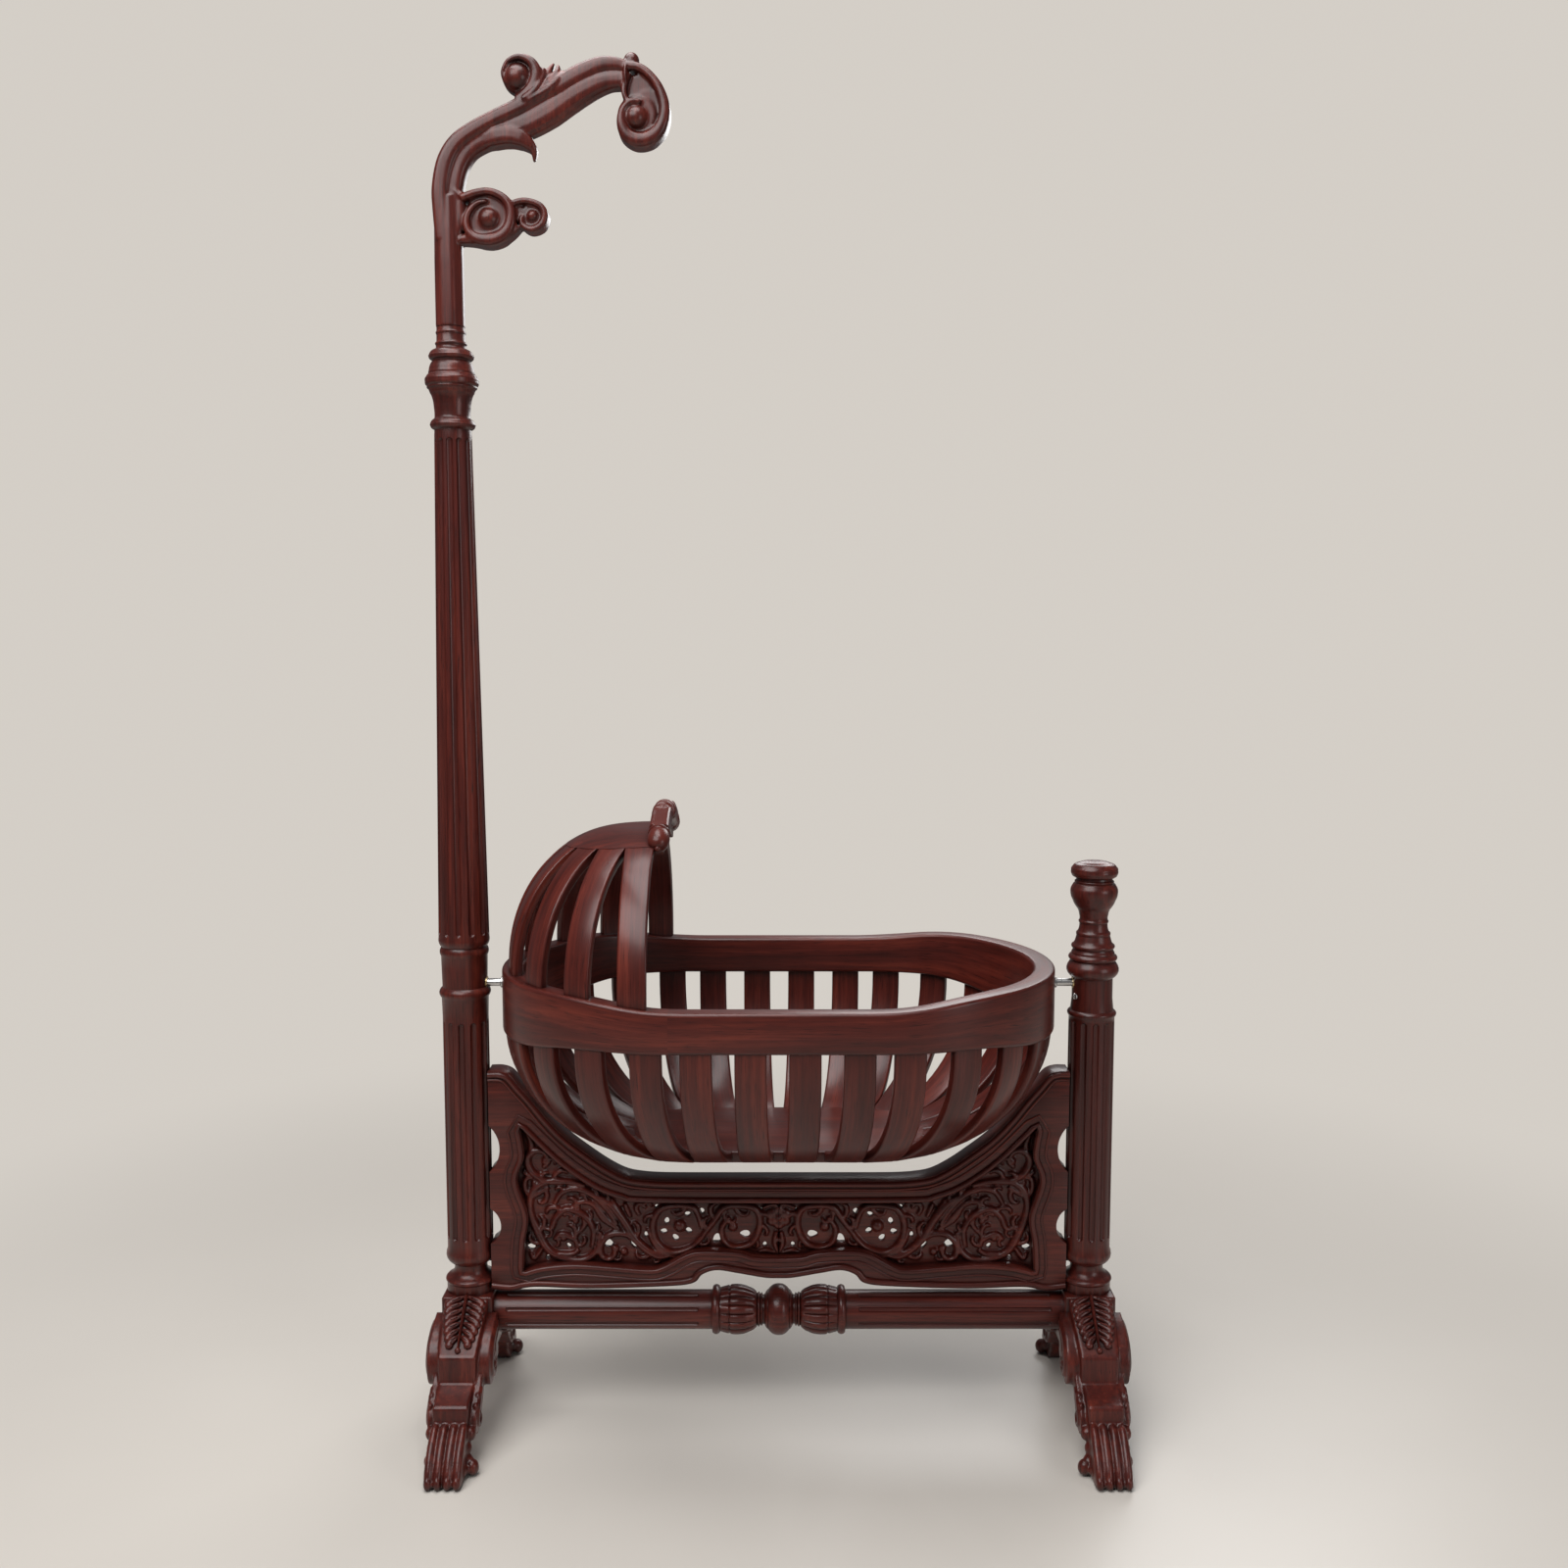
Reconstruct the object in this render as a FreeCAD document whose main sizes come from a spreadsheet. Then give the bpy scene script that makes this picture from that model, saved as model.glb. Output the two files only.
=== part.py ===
import FreeCAD, Part
import math
import os
import Sketcher

# A carved swing cradle of lacquered hardwood. The stand has a tall post with a
# canopy crook, a short post, four claw-footed legs, a pierced apron panel and a
# turned stretcher. The slatted basket hangs between the posts on two steel pins.
# X runs along the cradle, Y across it and Z up, with the origin on the floor.

Vector = FreeCAD.Vector
Rotation = FreeCAD.Rotation
Placement = FreeCAD.Placement

doc = FreeCAD.newDocument("swing_cradle")
sheet = doc.addObject("Spreadsheet::Sheet", "sizes")

# Driving dimensions in millimetres, angles in degrees, and plain counts.
driving_sizes = [
    # posts
    ("post_spacing", 890.0),
    ("post_radius", 36.0),
    ("pivot_height", 636.0),
    ("block_width", 72.0),
    ("block_top", 186.0),
    ("block_bottom", 98.0),
    ("foot_turning_height", 75.0),
    ("band_drop", 48.0),
    ("tall_band_rise", 66.0),
    ("tall_shaft_length", 695.0),
    ("tall_head_height", 144.0),
    ("short_band_rise", 42.0),
    ("short_head_height", 132.0),
    ("flute_count", 12),
    ("flute_radius", 5.0),
    ("flute_depth", 3.2),
    ("flute_margin", 9.0),
    # canopy crook
    ("crook_height", 357.0),
    ("crook_reach", 302.0),
    ("crook_stem_radius", 19.5),
    ("crook_tenon_radius", 11.0),
    ("crook_tenon_length", 45.0),
    ("volute_thickness", 32.0),
    ("volute_edge_round", 8.0),
    # legs
    ("leg_width", 56.0),
    ("leg_reach", 187.0),
    ("knee_width", 88.0),
    ("toe_groove_radius", 5.0),
    ("toe_width", 15.0),
    ("dowel_radius", 6.0),
    ("dowel_length", 50.0),
    ("dowel_spacing", 44.0),
    # apron panel
    ("panel_thickness", 36.0),
    ("panel_top_height", 511.0),
    ("panel_middle_height", 351.0),
    ("panel_bottom_height", 188.0),
    ("panel_edge_gap", 0.2),
    ("panel_basket_clearance", 6.0),
    ("scallop_depth", 15.0),
    ("scroll_plate_thickness", 12.0),
    ("scroll_relief", 9.0),
    ("flower_petal_radius", 9.0),
    ("flower_boss_rise", 2.0),
    ("pierced_hole_radius", 5.0),
    # stretcher
    ("stretcher_radius", 27.5),
    ("stretcher_height", 152.5),
    ("stretcher_tenon_radius", 12.0),
    ("stretcher_tenon_length", 22.0),
    ("stretcher_vase_half", 98.0),
    # basket
    ("basket_half_length", 388.0),
    ("basket_half_width", 249.0),
    ("band_thickness", 30.0),
    ("band_top_middle_rise", 17.5),
    ("band_top_end_rise", 31.0),
    ("band_foot_middle_drop", 36.0),
    ("band_foot_end_drop", 56.0),
    ("band_flat_half", 115.0),
    ("band_rise_half", 300.0),
    ("slat_width", 41.0),
    ("slat_thickness", 14.0),
    ("slat_setback", 4.0),
    ("slat_bend_radius", 185.0),
    ("slat_bend_drop", 46.0),
    ("slat_tenon", 10.0),
    ("side_slats", 4),
    ("end_slats", 10),
    ("first_slat_angle", 7.0),
    ("board_half_width", 90.0),
    ("board_thickness", 16.0),
    ("board_lift", 2.0),
    # hood
    ("hood_height", 193.0),
    ("hood_pole_setback", 46.5),
    ("hood_flat", 35.0),
    ("hood_slat_width", 39.0),
    ("hood_slat_thickness", 14.0),
    ("hood_slats", 9),
    ("hood_first_angle", 10.5),
    ("hood_tenon_rise", 10.0),
    ("crown_radius", 112.0),
    ("crest_radius", 12.5),
    ("crest_bend_radius", 193.0),
    ("crest_half_angle", 31.0),
    ("crest_rise", 21.0),
    ("crest_front", 5.5),
    ("crest_web_thickness", 12.0),
    # pivots
    ("pin_radius", 5.5),
    ("pin_fit", 0.05),
    ("pin_in_post", 20.0),
    ("pin_collar_radius", 8.0),
    ("pin_collar_length", 6.0),
    ("bush_wall", 3.0),
    ("bush_end_gap", 0.5),
    ("set_screw_radius", 3.0),
    ("set_screw_head_radius", 4.5),
    ("set_screw_head_height", 2.5),
    ("set_screw_head_sink", 0.6),
    ("set_screw_length", 12.0),
    ("set_screw_drop", 18.0),
    ("set_screw_angle", 24.0),
    ("cut_overrun", 5.0),
    ("arc_least_bulge", 0.001),
]

row = 1
for alias, value in driving_sizes:
    sheet.set("A%d" % row, alias)
    sheet.set("B%d" % row, str(value))
    sheet.setAlias("B%d" % row, alias)
    row += 1
doc.recompute()


def size(alias):
    return float(sheet.get(alias))


half_spacing = size("post_spacing") / 2
post_radius = size("post_radius")
pivot_height = size("pivot_height")
block_top = size("block_top")
block_half = size("block_width") / 2
overrun = size("cut_overrun")
shaft_foot = block_top + size("foot_turning_height")
band_foot = pivot_height - size("band_drop")
tall_shaft_foot = pivot_height + size("tall_band_rise")
tall_head_foot = tall_shaft_foot + size("tall_shaft_length")
tall_post_top = tall_head_foot + size("tall_head_height")
short_head_foot = pivot_height + size("short_band_rise")
short_post_top = short_head_foot + size("short_head_height")
end_centre = size("basket_half_length") - size("basket_half_width")
band_top_middle = pivot_height + size("band_top_middle_rise")
band_top_end = pivot_height + size("band_top_end_rise")
band_foot_middle = pivot_height - size("band_foot_middle_drop")
band_foot_end = pivot_height - size("band_foot_end_drop")
slat_bend_height = pivot_height - size("slat_bend_drop")
hood_tenon_foot = pivot_height + size("hood_tenon_rise")
hood_pole = -end_centre - size("hood_pole_setback")
half_turn = 180.0
finished = {}


# Sketch and body helpers
def origin_plane(body, role):
    for feature in body.Origin.OriginFeatures:
        if feature.Role == role:
            return feature
    raise ValueError(role)


def new_body(name):
    body = doc.addObject("PartDesign::Body", name)
    body.Label = name
    finished[name] = body
    return body


def new_sketch(body, role, name, edges):
    sketch = body.newObject("Sketcher::SketchObject", name)
    sketch.AttachmentSupport = [(origin_plane(body, role), "")]
    sketch.MapMode = "FlatFace"
    sketch.addGeometry(edges, False)
    for index in range(len(edges)):
        sketch.addConstraint(Sketcher.Constraint("Block", index))
    return sketch


def keep(name, shape):
    feature = doc.addObject("Part::Feature", name)
    feature.Label = name
    feature.Shape = shape
    finished[name] = feature
    return feature


def bulged_edge(start, end, bulge):
    if abs(bulge) < size("arc_least_bulge"):
        return Part.LineSegment(start, end)
    chord = end - start
    side = Vector(chord.y, -chord.x, 0).normalize()
    middle = (start + end) * 0.5 + side * bulge
    return Part.Arc(start, middle, end)


def outline_edges(points):
    # each point is (across, up, bulge of the edge that ends there)
    edges = []
    for index, (across, up, bulge) in enumerate(points):
        previous = points[index - 1]
        start = Vector(previous[0], previous[1], 0)
        edges.append(bulged_edge(start, Vector(across, up, 0), bulge))
    return edges


def flat_face(points, place):
    # a face in the XZ plane at Y = place from points of (across, up, bulge)
    wire = Part.Wire([edge.toShape() for edge in outline_edges(points)])
    wire.rotate(Vector(0, 0, 0), Vector(1, 0, 0), 90)
    wire.translate(Vector(0, place, 0))
    return Part.Face(wire)


def smooth_edge(points, place):
    curve = Part.BSplineCurve()
    curve.interpolate([Vector(across, place, up) for across, up in points])
    return curve.toShape()


# Turned posts. Each table row is height share, radius share and bulge share:
# heights are shares of the section, radii and bulges shares of the post radius.
foot_turning_shares = [
    (0.00, 0.95, 0.0), (0.18, 0.95, 0.0), (0.27, 0.95, 0.05), (0.48, 0.64, -0.10),
    (0.53, 0.66, 0.0), (0.84, 0.90, 0.17), (1.00, 0.90, 0.0),
]
tall_band_shares = [
    (0.00, 0.89, 0.0), (0.245, 0.91, 0.0), (0.38, 0.87, 0.11), (0.63, 0.89, 0.0),
    (0.77, 0.90, 0.0), (0.885, 0.88, 0.06), (0.905, 0.93, 0.0), (1.00, 0.98, 0.03),
]
tall_head_shares = [
    (0.045, 0.70, 0.0), (0.18, 0.70, 0.16), (0.228, 0.695, 0.0), (0.455, 0.90, -0.06),
    (0.475, 0.93, 0.0), (0.52, 1.02, 0.03), (0.68, 0.735, -0.04), (0.82, 0.74, 0.12),
    (0.835, 0.59, 0.0), (0.90, 0.56, 0.04), (0.97, 0.545, 0.03), (1.00, 0.54, 0.0),
]
short_band_shares = [
    (0.00, 0.89, 0.0), (0.11, 0.84, 0.09), (0.30, 0.79, 0.0), (0.62, 0.79, 0.0),
    (0.87, 0.90, 0.17), (0.89, 0.86, 0.0), (1.00, 0.84, 0.10),
]
short_head_shares = [
    (0.07, 0.73, -0.01), (0.12, 0.68, 0.0), (0.22, 0.65, 0.03), (0.25, 0.60, 0.0),
    (0.42, 0.80, -0.06), (0.72, 0.77, 0.22), (0.76, 0.77, 0.06), (0.80, 0.73, 0.0),
    (0.84, 0.92, 0.04), (0.93, 0.88, 0.10), (1.00, 0.45, 0.08),
]


def turned_section(shares, foot, height):
    return [(radius * post_radius, foot + rise * height, bulge * post_radius)
            for rise, radius, bulge in shares]


def square_block(body):
    pad_outline = [
        (-block_half, -block_half, 0), (block_half, -block_half, 0),
        (block_half, block_half, 0), (-block_half, block_half, 0),
    ]
    sketch = new_sketch(body, "XY_Plane", body.Name + "_block_plan", outline_edges(pad_outline))
    sketch.AttachmentOffset = Placement(Vector(0, 0, size("block_bottom")), Rotation())
    pad = body.newObject("PartDesign::Pad", body.Name + "_block")
    pad.Profile = sketch
    pad.setExpression("Length", "sizes.block_top - sizes.block_bottom")
    return pad


def turn_on_post(body, points):
    loop = [(0, points[-1][1], 0), (0, points[0][1], 0)]
    first = (points[0][0], points[0][1], 0)
    sketch = new_sketch(body, "XZ_Plane", body.Name + "_profile",
                        outline_edges(loop + [first] + points[1:]))
    turning = body.newObject("PartDesign::Revolution", body.Name + "_turning")
    turning.Profile = sketch
    turning.ReferenceAxis = (sketch, ["V_Axis"])
    turning.Angle = 360
    return turning


def cut_flutes(body, name, foot, foot_radius, top, top_radius):
    # round-ended flutes that follow the taper of the shaft
    depth = size("flute_radius") - size("flute_depth")
    low = Vector(foot_radius + depth, 0, foot + size("flute_margin"))
    high = Vector(top_radius + depth, 0, top - size("flute_margin"))
    lean = Rotation(Vector(0, 0, 1), high - low)
    barrel = body.newObject("PartDesign::SubtractiveCylinder", name)
    barrel.setExpression("Radius", "sizes.flute_radius")
    barrel.Height = (high - low).Length
    barrel.Placement = Placement(low, lean)
    ends = []
    for number, place in enumerate((low, high)):
        ball = body.newObject("PartDesign::SubtractiveSphere", "%s_end_%d" % (name, number))
        ball.setExpression("Radius", "sizes.flute_radius")
        ball.Placement = Placement(place, Rotation())
        ends.append(ball)
    pattern = body.newObject("PartDesign::PolarPattern", name + "_round")
    pattern.Originals = [barrel] + ends
    pattern.Axis = (origin_plane(body, "Z_Axis"), [""])
    pattern.Angle = 360
    pattern.setExpression("Occurrences", "sizes.flute_count")
    body.Tip = pattern


def bore_for(body, name, radius_expression, start, direction, length):
    bore = body.newObject("PartDesign::SubtractiveCylinder", name)
    bore.setExpression("Radius", radius_expression)
    bore.Height = length
    bore.Placement = Placement(start, Rotation(Vector(0, 0, 1), direction))
    body.Tip = bore


dowel_reach = size("dowel_length") / 2
middle_block = (block_top + size("block_bottom")) / 2
dowel_levels = (middle_block - size("dowel_spacing") / 2, middle_block + size("dowel_spacing") / 2)
panel_side = size("panel_top_height") - size("panel_bottom_height")
# Side scallops of the panel: place and length as shares of the side's height, the upper one first.
scallop_shares = [(0.650, 0.2105), (0.297, 0.161)]
panel_dowel_shares = (0.136, 0.4735)
panel_dowel_levels = [size("panel_bottom_height") + share * panel_side for share in panel_dowel_shares]
tall_waist_share = 0.885
short_waist_share = 0.79
panel_seat_share = 0.90
pin_hole_depth = size("pin_in_post") + size("bush_end_gap")
post_inner_face = {-1: half_spacing - tall_waist_share * post_radius,
                   1: half_spacing - short_waist_share * post_radius}
screw_way = Vector(-math.cos(math.radians(size("set_screw_angle"))),
                   -math.sin(math.radians(size("set_screw_angle"))), 0)
screw_level = pivot_height - size("set_screw_drop")
screw_seat = short_waist_share * post_radius - size("set_screw_head_sink")


def finish_post(body, side):
    # joints towards the cradle: stretcher tenon, panel dowels, pivot bush
    inward = Vector(-side, 0, 0)
    bore_for(body, body.Name + "_stretcher_bore", "sizes.stretcher_tenon_radius",
             Vector(-side * (block_half + overrun), 0, size("stretcher_height")),
             -inward, size("stretcher_tenon_length") + overrun)
    for number, level in enumerate(panel_dowel_levels):
        bore_for(body, "%s_panel_bore_%d" % (body.Name, number), "sizes.dowel_radius",
                 Vector(-side * (post_radius + overrun), 0, level), -inward,
                 post_radius + overrun - size("dowel_radius"))
    bush_start = half_spacing - post_inner_face[side]
    bore_for(body, body.Name + "_bush_bore",
             "sizes.pin_radius + sizes.pin_fit + sizes.bush_wall",
             Vector(-side * (bush_start + overrun), 0, pivot_height), -inward,
             pin_hole_depth + overrun)
    for front in (-1, 1):
        for number, level in enumerate(dowel_levels):
            bore_for(body, "%s_leg_bore_%d_%d" % (body.Name, front + 1, number),
                     "sizes.dowel_radius",
                     Vector(0, front * (block_half + overrun), level),
                     Vector(0, -front, 0), dowel_reach + overrun)
    body.setExpression("Placement.Base.x", "sizes.post_spacing / 2 * %d" % side)


def make_tall_post():
    body = new_body("tall_post")
    square_block(body)
    points = turned_section(foot_turning_shares, block_top, size("foot_turning_height"))
    band_height = size("band_drop") + size("tall_band_rise")
    points += turned_section(tall_band_shares, band_foot, band_height)
    head = turned_section(tall_head_shares, tall_head_foot, size("tall_head_height"))
    points += [(head[0][0], tall_head_foot, 0)] + head
    turn_on_post(body, points)
    cut_flutes(body, "tall_lower_flutes", shaft_foot, points[6][0], band_foot, points[7][0])
    cut_flutes(body, "tall_upper_flutes", tall_shaft_foot, points[14][0], tall_head_foot, head[0][0])
    bore_for(body, "crook_socket", "sizes.crook_tenon_radius",
             Vector(0, 0, tall_post_top - size("crook_tenon_length")), Vector(0, 0, 1),
             size("crook_tenon_length") + overrun)
    finish_post(body, -1)


def make_short_post():
    body = new_body("short_post")
    square_block(body)
    points = turned_section(foot_turning_shares, block_top, size("foot_turning_height"))
    band_height = size("band_drop") + size("short_band_rise")
    points += turned_section(short_band_shares, band_foot, band_height)
    points += turned_section(short_head_shares, short_head_foot, size("short_head_height"))
    turn_on_post(body, points)
    cut_flutes(body, "short_lower_flutes", shaft_foot, points[6][0], band_foot, points[7][0])
    seat = screw_way * screw_seat + Vector(0, 0, screw_level)
    bore_for(body, "screw_head_bore", "sizes.set_screw_head_radius", seat, screw_way,
             size("set_screw_head_height") + overrun)
    bore_for(body, "screw_bore", "sizes.set_screw_radius", seat - screw_way * size("set_screw_length"),
             screw_way, size("set_screw_length") + overrun)
    finish_post(body, 1)


# Canopy crook. Centre line rows: reach share, height share, radius share of the stem.
crook_line_shares = [
    (0.000, 0.000, 0.97), (0.000, 0.200, 1.00), (0.000, 0.360, 1.02), (0.010, 0.500, 1.08),
    (0.045, 0.600, 1.08), (0.115, 0.672, 1.15), (0.210, 0.720, 1.22), (0.330, 0.765, 1.26),
    (0.440, 0.812, 1.32), (0.545, 0.865, 1.30), (0.640, 0.910, 1.24), (0.735, 0.925, 1.16),
    (0.825, 0.905, 1.00), (0.905, 0.850, 0.85), (0.945, 0.765, 0.70), (0.925, 0.700, 0.62),
    (0.865, 0.675, 0.55), (0.805, 0.710, 0.46), (0.795, 0.765, 0.36),
]
# Volutes and knobs: reach share, height share, radius share of the stem, thickness share.
crook_volute_shares = [
    (0.190, 0.415, 1.95, 1.00), (0.385, 0.415, 0.95, 0.80),
    (0.330, 0.922, 1.35, 1.00), (0.850, 0.772, 0.85, 1.15),
]
crook_knob_shares = [(0.830, 0.968, 0.60), (0.385, 0.480, 0.50)]
# Pointed leaves: root and tip as reach and height shares, root radius share.
crook_leaf_shares = [
    (0.380, 0.730, 0.400, 0.612, 0.60), (0.450, 0.880, 0.480, 0.960, 0.55),
    (0.310, 0.800, 0.325, 0.900, 0.75), (0.020, 0.330, 0.170, 0.350, 0.80),
    (0.220, 0.415, 0.360, 0.415, 0.60),
]
leaf_tip_share = 0.25
crook_rings = 36


def crook_point(reach_share, height_share):
    return Vector(reach_share * size("crook_reach"), 0, height_share * size("crook_height"))


def crook_radius_share(places, place):
    # blends the radii of the two rows that the place lies nearest to
    gaps = [place.distanceToPoint(other) for other in places]
    near = gaps.index(min(gaps))
    beside = [index for index in (near - 1, near + 1) if 0 <= index < len(places)]
    other = min(beside, key=lambda index: gaps[index])
    share = gaps[near] / (gaps[near] + gaps[other])
    return crook_line_shares[near][2] * (1 - share) + crook_line_shares[other][2] * share


def make_crook():
    stem = size("crook_stem_radius")
    places = [crook_point(reach, height) for reach, height, _ in crook_line_shares]
    line = Part.BSplineCurve()
    line.interpolate(places)
    rings = []
    for number in range(crook_rings + 1):
        spot = line.parameterAtDistance(line.length() * number / crook_rings)
        place = line.value(spot)
        radius = crook_radius_share(places, place) * stem
        direction = line.tangent(spot)[0] if number else Vector(0, 0, 1)
        ring = Part.Wire([Part.Circle(Vector(0, 0, 0), Vector(0, 0, 1), radius).toShape()])
        # every ring starts on the same side, so that the loft doesn't twist
        turn = Rotation(Vector(0, 1, 0), direction.cross(Vector(0, 1, 0)), direction, "ZXY")
        ring.Placement = Placement(place, turn)
        rings.append(ring)
    shape = Part.makeLoft(rings, True, False)
    extras = []
    for reach, height, radius_share, thickness_share in crook_volute_shares:
        thickness = thickness_share * size("volute_thickness")
        centre = crook_point(reach, height) - Vector(0, thickness / 2, 0)
        disc = Part.makeCylinder(radius_share * stem, thickness, centre, Vector(0, 1, 0))
        rims = [edge for edge in disc.Edges if isinstance(edge.Curve, Part.Circle)]
        extras.append(disc.makeFillet(size("volute_edge_round"), rims))
    for reach, height, radius_share in crook_knob_shares:
        extras.append(Part.makeSphere(radius_share * stem, crook_point(reach, height)))
    for root_x, root_z, tip_x, tip_z, radius_share in crook_leaf_shares:
        root = crook_point(root_x, root_z)
        way = crook_point(tip_x, tip_z) - root
        extras.append(Part.makeCone(radius_share * stem, radius_share * leaf_tip_share * stem,
                                    way.Length, root, way))
    tenon_start = Vector(0, 0, -size("crook_tenon_length"))
    extras.append(Part.makeCylinder(size("crook_tenon_radius"),
                                    size("crook_tenon_length") + overrun, tenon_start))
    shape = shape.multiFuse(extras).removeSplitter()
    feature = keep("canopy_crook", shape)
    feature.Placement = Placement(Vector(0, 0, tall_post_top), Rotation())
    feature.setExpression("Placement.Base.x", "-sizes.post_spacing / 2")


# Legs: side outline as shares of reach and block height, drawn for the front leg.
leg_outline_shares = [
    (0.00, 1.00, 0.0), (0.06, 1.00, 0.0), (0.40, 0.73, 0.03), (0.58, 0.60, -0.02),
    (0.70, 0.49, 0.02), (0.78, 0.38, -0.01), (0.93, 0.24, 0.05), (1.00, 0.00, 0.04),
    (0.64, 0.00, 0.0), (0.56, 0.12, 0.05), (0.40, 0.34, -0.03), (0.20, 0.44, 0.05),
    (0.00, 0.527, -0.04),
]
knee_outline_shares = [
    (0.00, 0.88, 0.0), (0.22, 0.80, 0.02), (0.34, 0.66, 0.02), (0.33, 0.47, 0.04), (0.20, 0.46, 0.02),
    (0.00, 0.56, -0.02),
]
# the grooves between the toes run from the tip up the front of the foot
groove_foot_reach_share = 1.03
groove_top_reach_share = 0.80
groove_top_height_share = 0.42


def make_leg(name, side, front):
    body = new_body(name)
    reach = size("leg_reach")
    outline = [(block_half + out * reach, up * block_top, bulge * reach)
               for out, up, bulge in leg_outline_shares]
    side_sketch = new_sketch(body, "YZ_Plane", name + "_side", outline_edges(outline))
    board = body.newObject("PartDesign::Pad", name + "_board")
    board.Profile = side_sketch
    board.Midplane = True
    board.setExpression("Length", "sizes.leg_width")
    knee_outline = [(block_half + out * reach, up * block_top, bulge * reach)
                    for out, up, bulge in knee_outline_shares]
    knee_sketch = new_sketch(body, "YZ_Plane", name + "_knee_side", outline_edges(knee_outline))
    knee = body.newObject("PartDesign::Pad", name + "_knee")
    knee.Profile = knee_sketch
    knee.Midplane = True
    knee.setExpression("Length", "sizes.knee_width")
    for number in (-1, 0, 1):
        groove = body.newObject("PartDesign::SubtractiveCylinder", "%s_toe_groove_%d" % (name, number + 1))
        groove.setExpression("Radius", "sizes.toe_groove_radius")
        low = Vector(number * size("toe_width"), block_half + groove_foot_reach_share * reach, 0)
        high = Vector(number * size("toe_width"), block_half + groove_top_reach_share * reach,
                      groove_top_height_share * block_top)
        groove.Height = (high - low).Length
        groove.Placement = Placement(low, Rotation(Vector(0, 0, 1), high - low))
    body.Tip = groove
    for number, level in enumerate(dowel_levels):
        bore_for(body, "%s_dowel_bore_%d" % (name, number), "sizes.dowel_radius",
                 Vector(0, block_half - overrun, level), Vector(0, 1, 0), dowel_reach + overrun)
    turn = 180 if front < 0 else 0
    body.Placement = Placement(Vector(side * half_spacing, 0, 0), Rotation(Vector(0, 0, 1), turn))
    body.setExpression("Placement.Base.x", "sizes.post_spacing / 2 * %d" % side)


# Stretcher between the two blocks. Rows from the middle outwards: place share,
# radius share and bulge share of the stretcher radius.
stretcher_shares = [
    (0.00, 1.33, 0.0), (0.13, 0.67, 0.25), (0.22, 0.67, 0.0), (0.27, 0.87, 0.08),
    (0.31, 0.87, 0.0), (0.55, 1.22, 0.10), (0.84, 1.02, 0.05), (0.86, 1.18, 0.0),
    (0.93, 1.18, 0.07), (1.00, 1.00, 0.05),
]


def make_stretcher():
    body = new_body("stretcher")
    radius = size("stretcher_radius")
    vase = size("stretcher_vase_half")
    reach = half_spacing - block_half
    half = [(radius * share, vase * place, radius * bulge) for place, share, bulge in stretcher_shares]
    half += [(radius, reach, 0), (size("stretcher_tenon_radius"), reach, 0),
             (size("stretcher_tenon_radius"), reach + size("stretcher_tenon_length"), 0)]
    mirrored = []
    for index in range(len(half) - 1, 0, -1):
        across, up, _ = half[index]
        after = half[index + 1][2] if index + 1 < len(half) else 0
        mirrored.append((across, -up, after))
    middle = (half[0][0], 0, half[1][2])
    points = [(0, half[-1][1], 0), (0, -half[-1][1], 0)] + mirrored + [middle] + half[1:]
    sketch = new_sketch(body, "XZ_Plane", "stretcher_profile", outline_edges(points))
    turning = body.newObject("PartDesign::Revolution", "stretcher_turning")
    turning.Profile = sketch
    turning.ReferenceAxis = (sketch, ["V_Axis"])
    turning.Angle = 360
    for side in (-1, 1):
        ends = sorted((side * vase, side * reach))
        cut_flutes(body, "stretcher_flutes_%d" % (side + 1), ends[0], radius, ends[1], radius)
    body.Placement = Placement(Vector(0, 0, size("stretcher_height")), Rotation(Vector(0, 1, 0), 90))
    body.setExpression("Placement.Base.z", "sizes.stretcher_height")


# Apron panel. Outline rows are shares of the half span between the posts, and
# heights between the panel's bottom and its middle or end heights.
panel_top_shares = [
    (0.435, 0.00), (0.520, 0.035), (0.590, 0.12), (0.655, 0.235), (0.730, 0.385),
    (0.790, 0.545), (0.850, 0.74), (0.890, 0.86), (0.925, 0.965), (0.960, 1.00), (1.000, 1.00),
]
panel_bottom_shares = [
    (0.000, 0.115), (0.050, 0.120), (0.140, 0.160), (0.215, 0.188), (0.265, 0.150),
    (0.300, 0.070), (0.400, 0.040), (0.660, 0.020), (0.850, 0.035), (0.930, 0.000), (1.000, 0.015),
]
opening_top_shares = [
    (0.000, 0.797), (0.460, 0.805), (0.550, 0.840), (0.645, 0.940), (0.765, 1.163), (0.893, 1.494),
]
opening_side_shares = [(0.880, 1.224), (0.905, 1.000), (0.870, 0.681), (0.882, 0.444), (0.888, 0.180)]
opening_bottom_shares = [
    (0.820, 0.228), (0.710, 0.252), (0.590, 0.233), (0.460, 0.207), (0.405, 0.228),
    (0.315, 0.350), (0.250, 0.374), (0.138, 0.360), (0.080, 0.320), (0.000, 0.311),
]


def both_sides(shares, up):
    right = [(across, up(rise)) for across, rise in shares]
    left = [(-across, height) for across, height in reversed(right)]
    return left[:-1] + right if abs(right[0][0]) < size("arc_least_bulge") else left + right


def panel_level(share):
    # up to 1 it is a share of the middle's height, and what is past 1 a share of the ends' rise
    rise = size("panel_middle_height") - size("panel_bottom_height")
    end_rise = size("panel_top_height") - size("panel_middle_height")
    return size("panel_bottom_height") + min(share, 1) * rise + max(share - 1, 0) * end_rise


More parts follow.
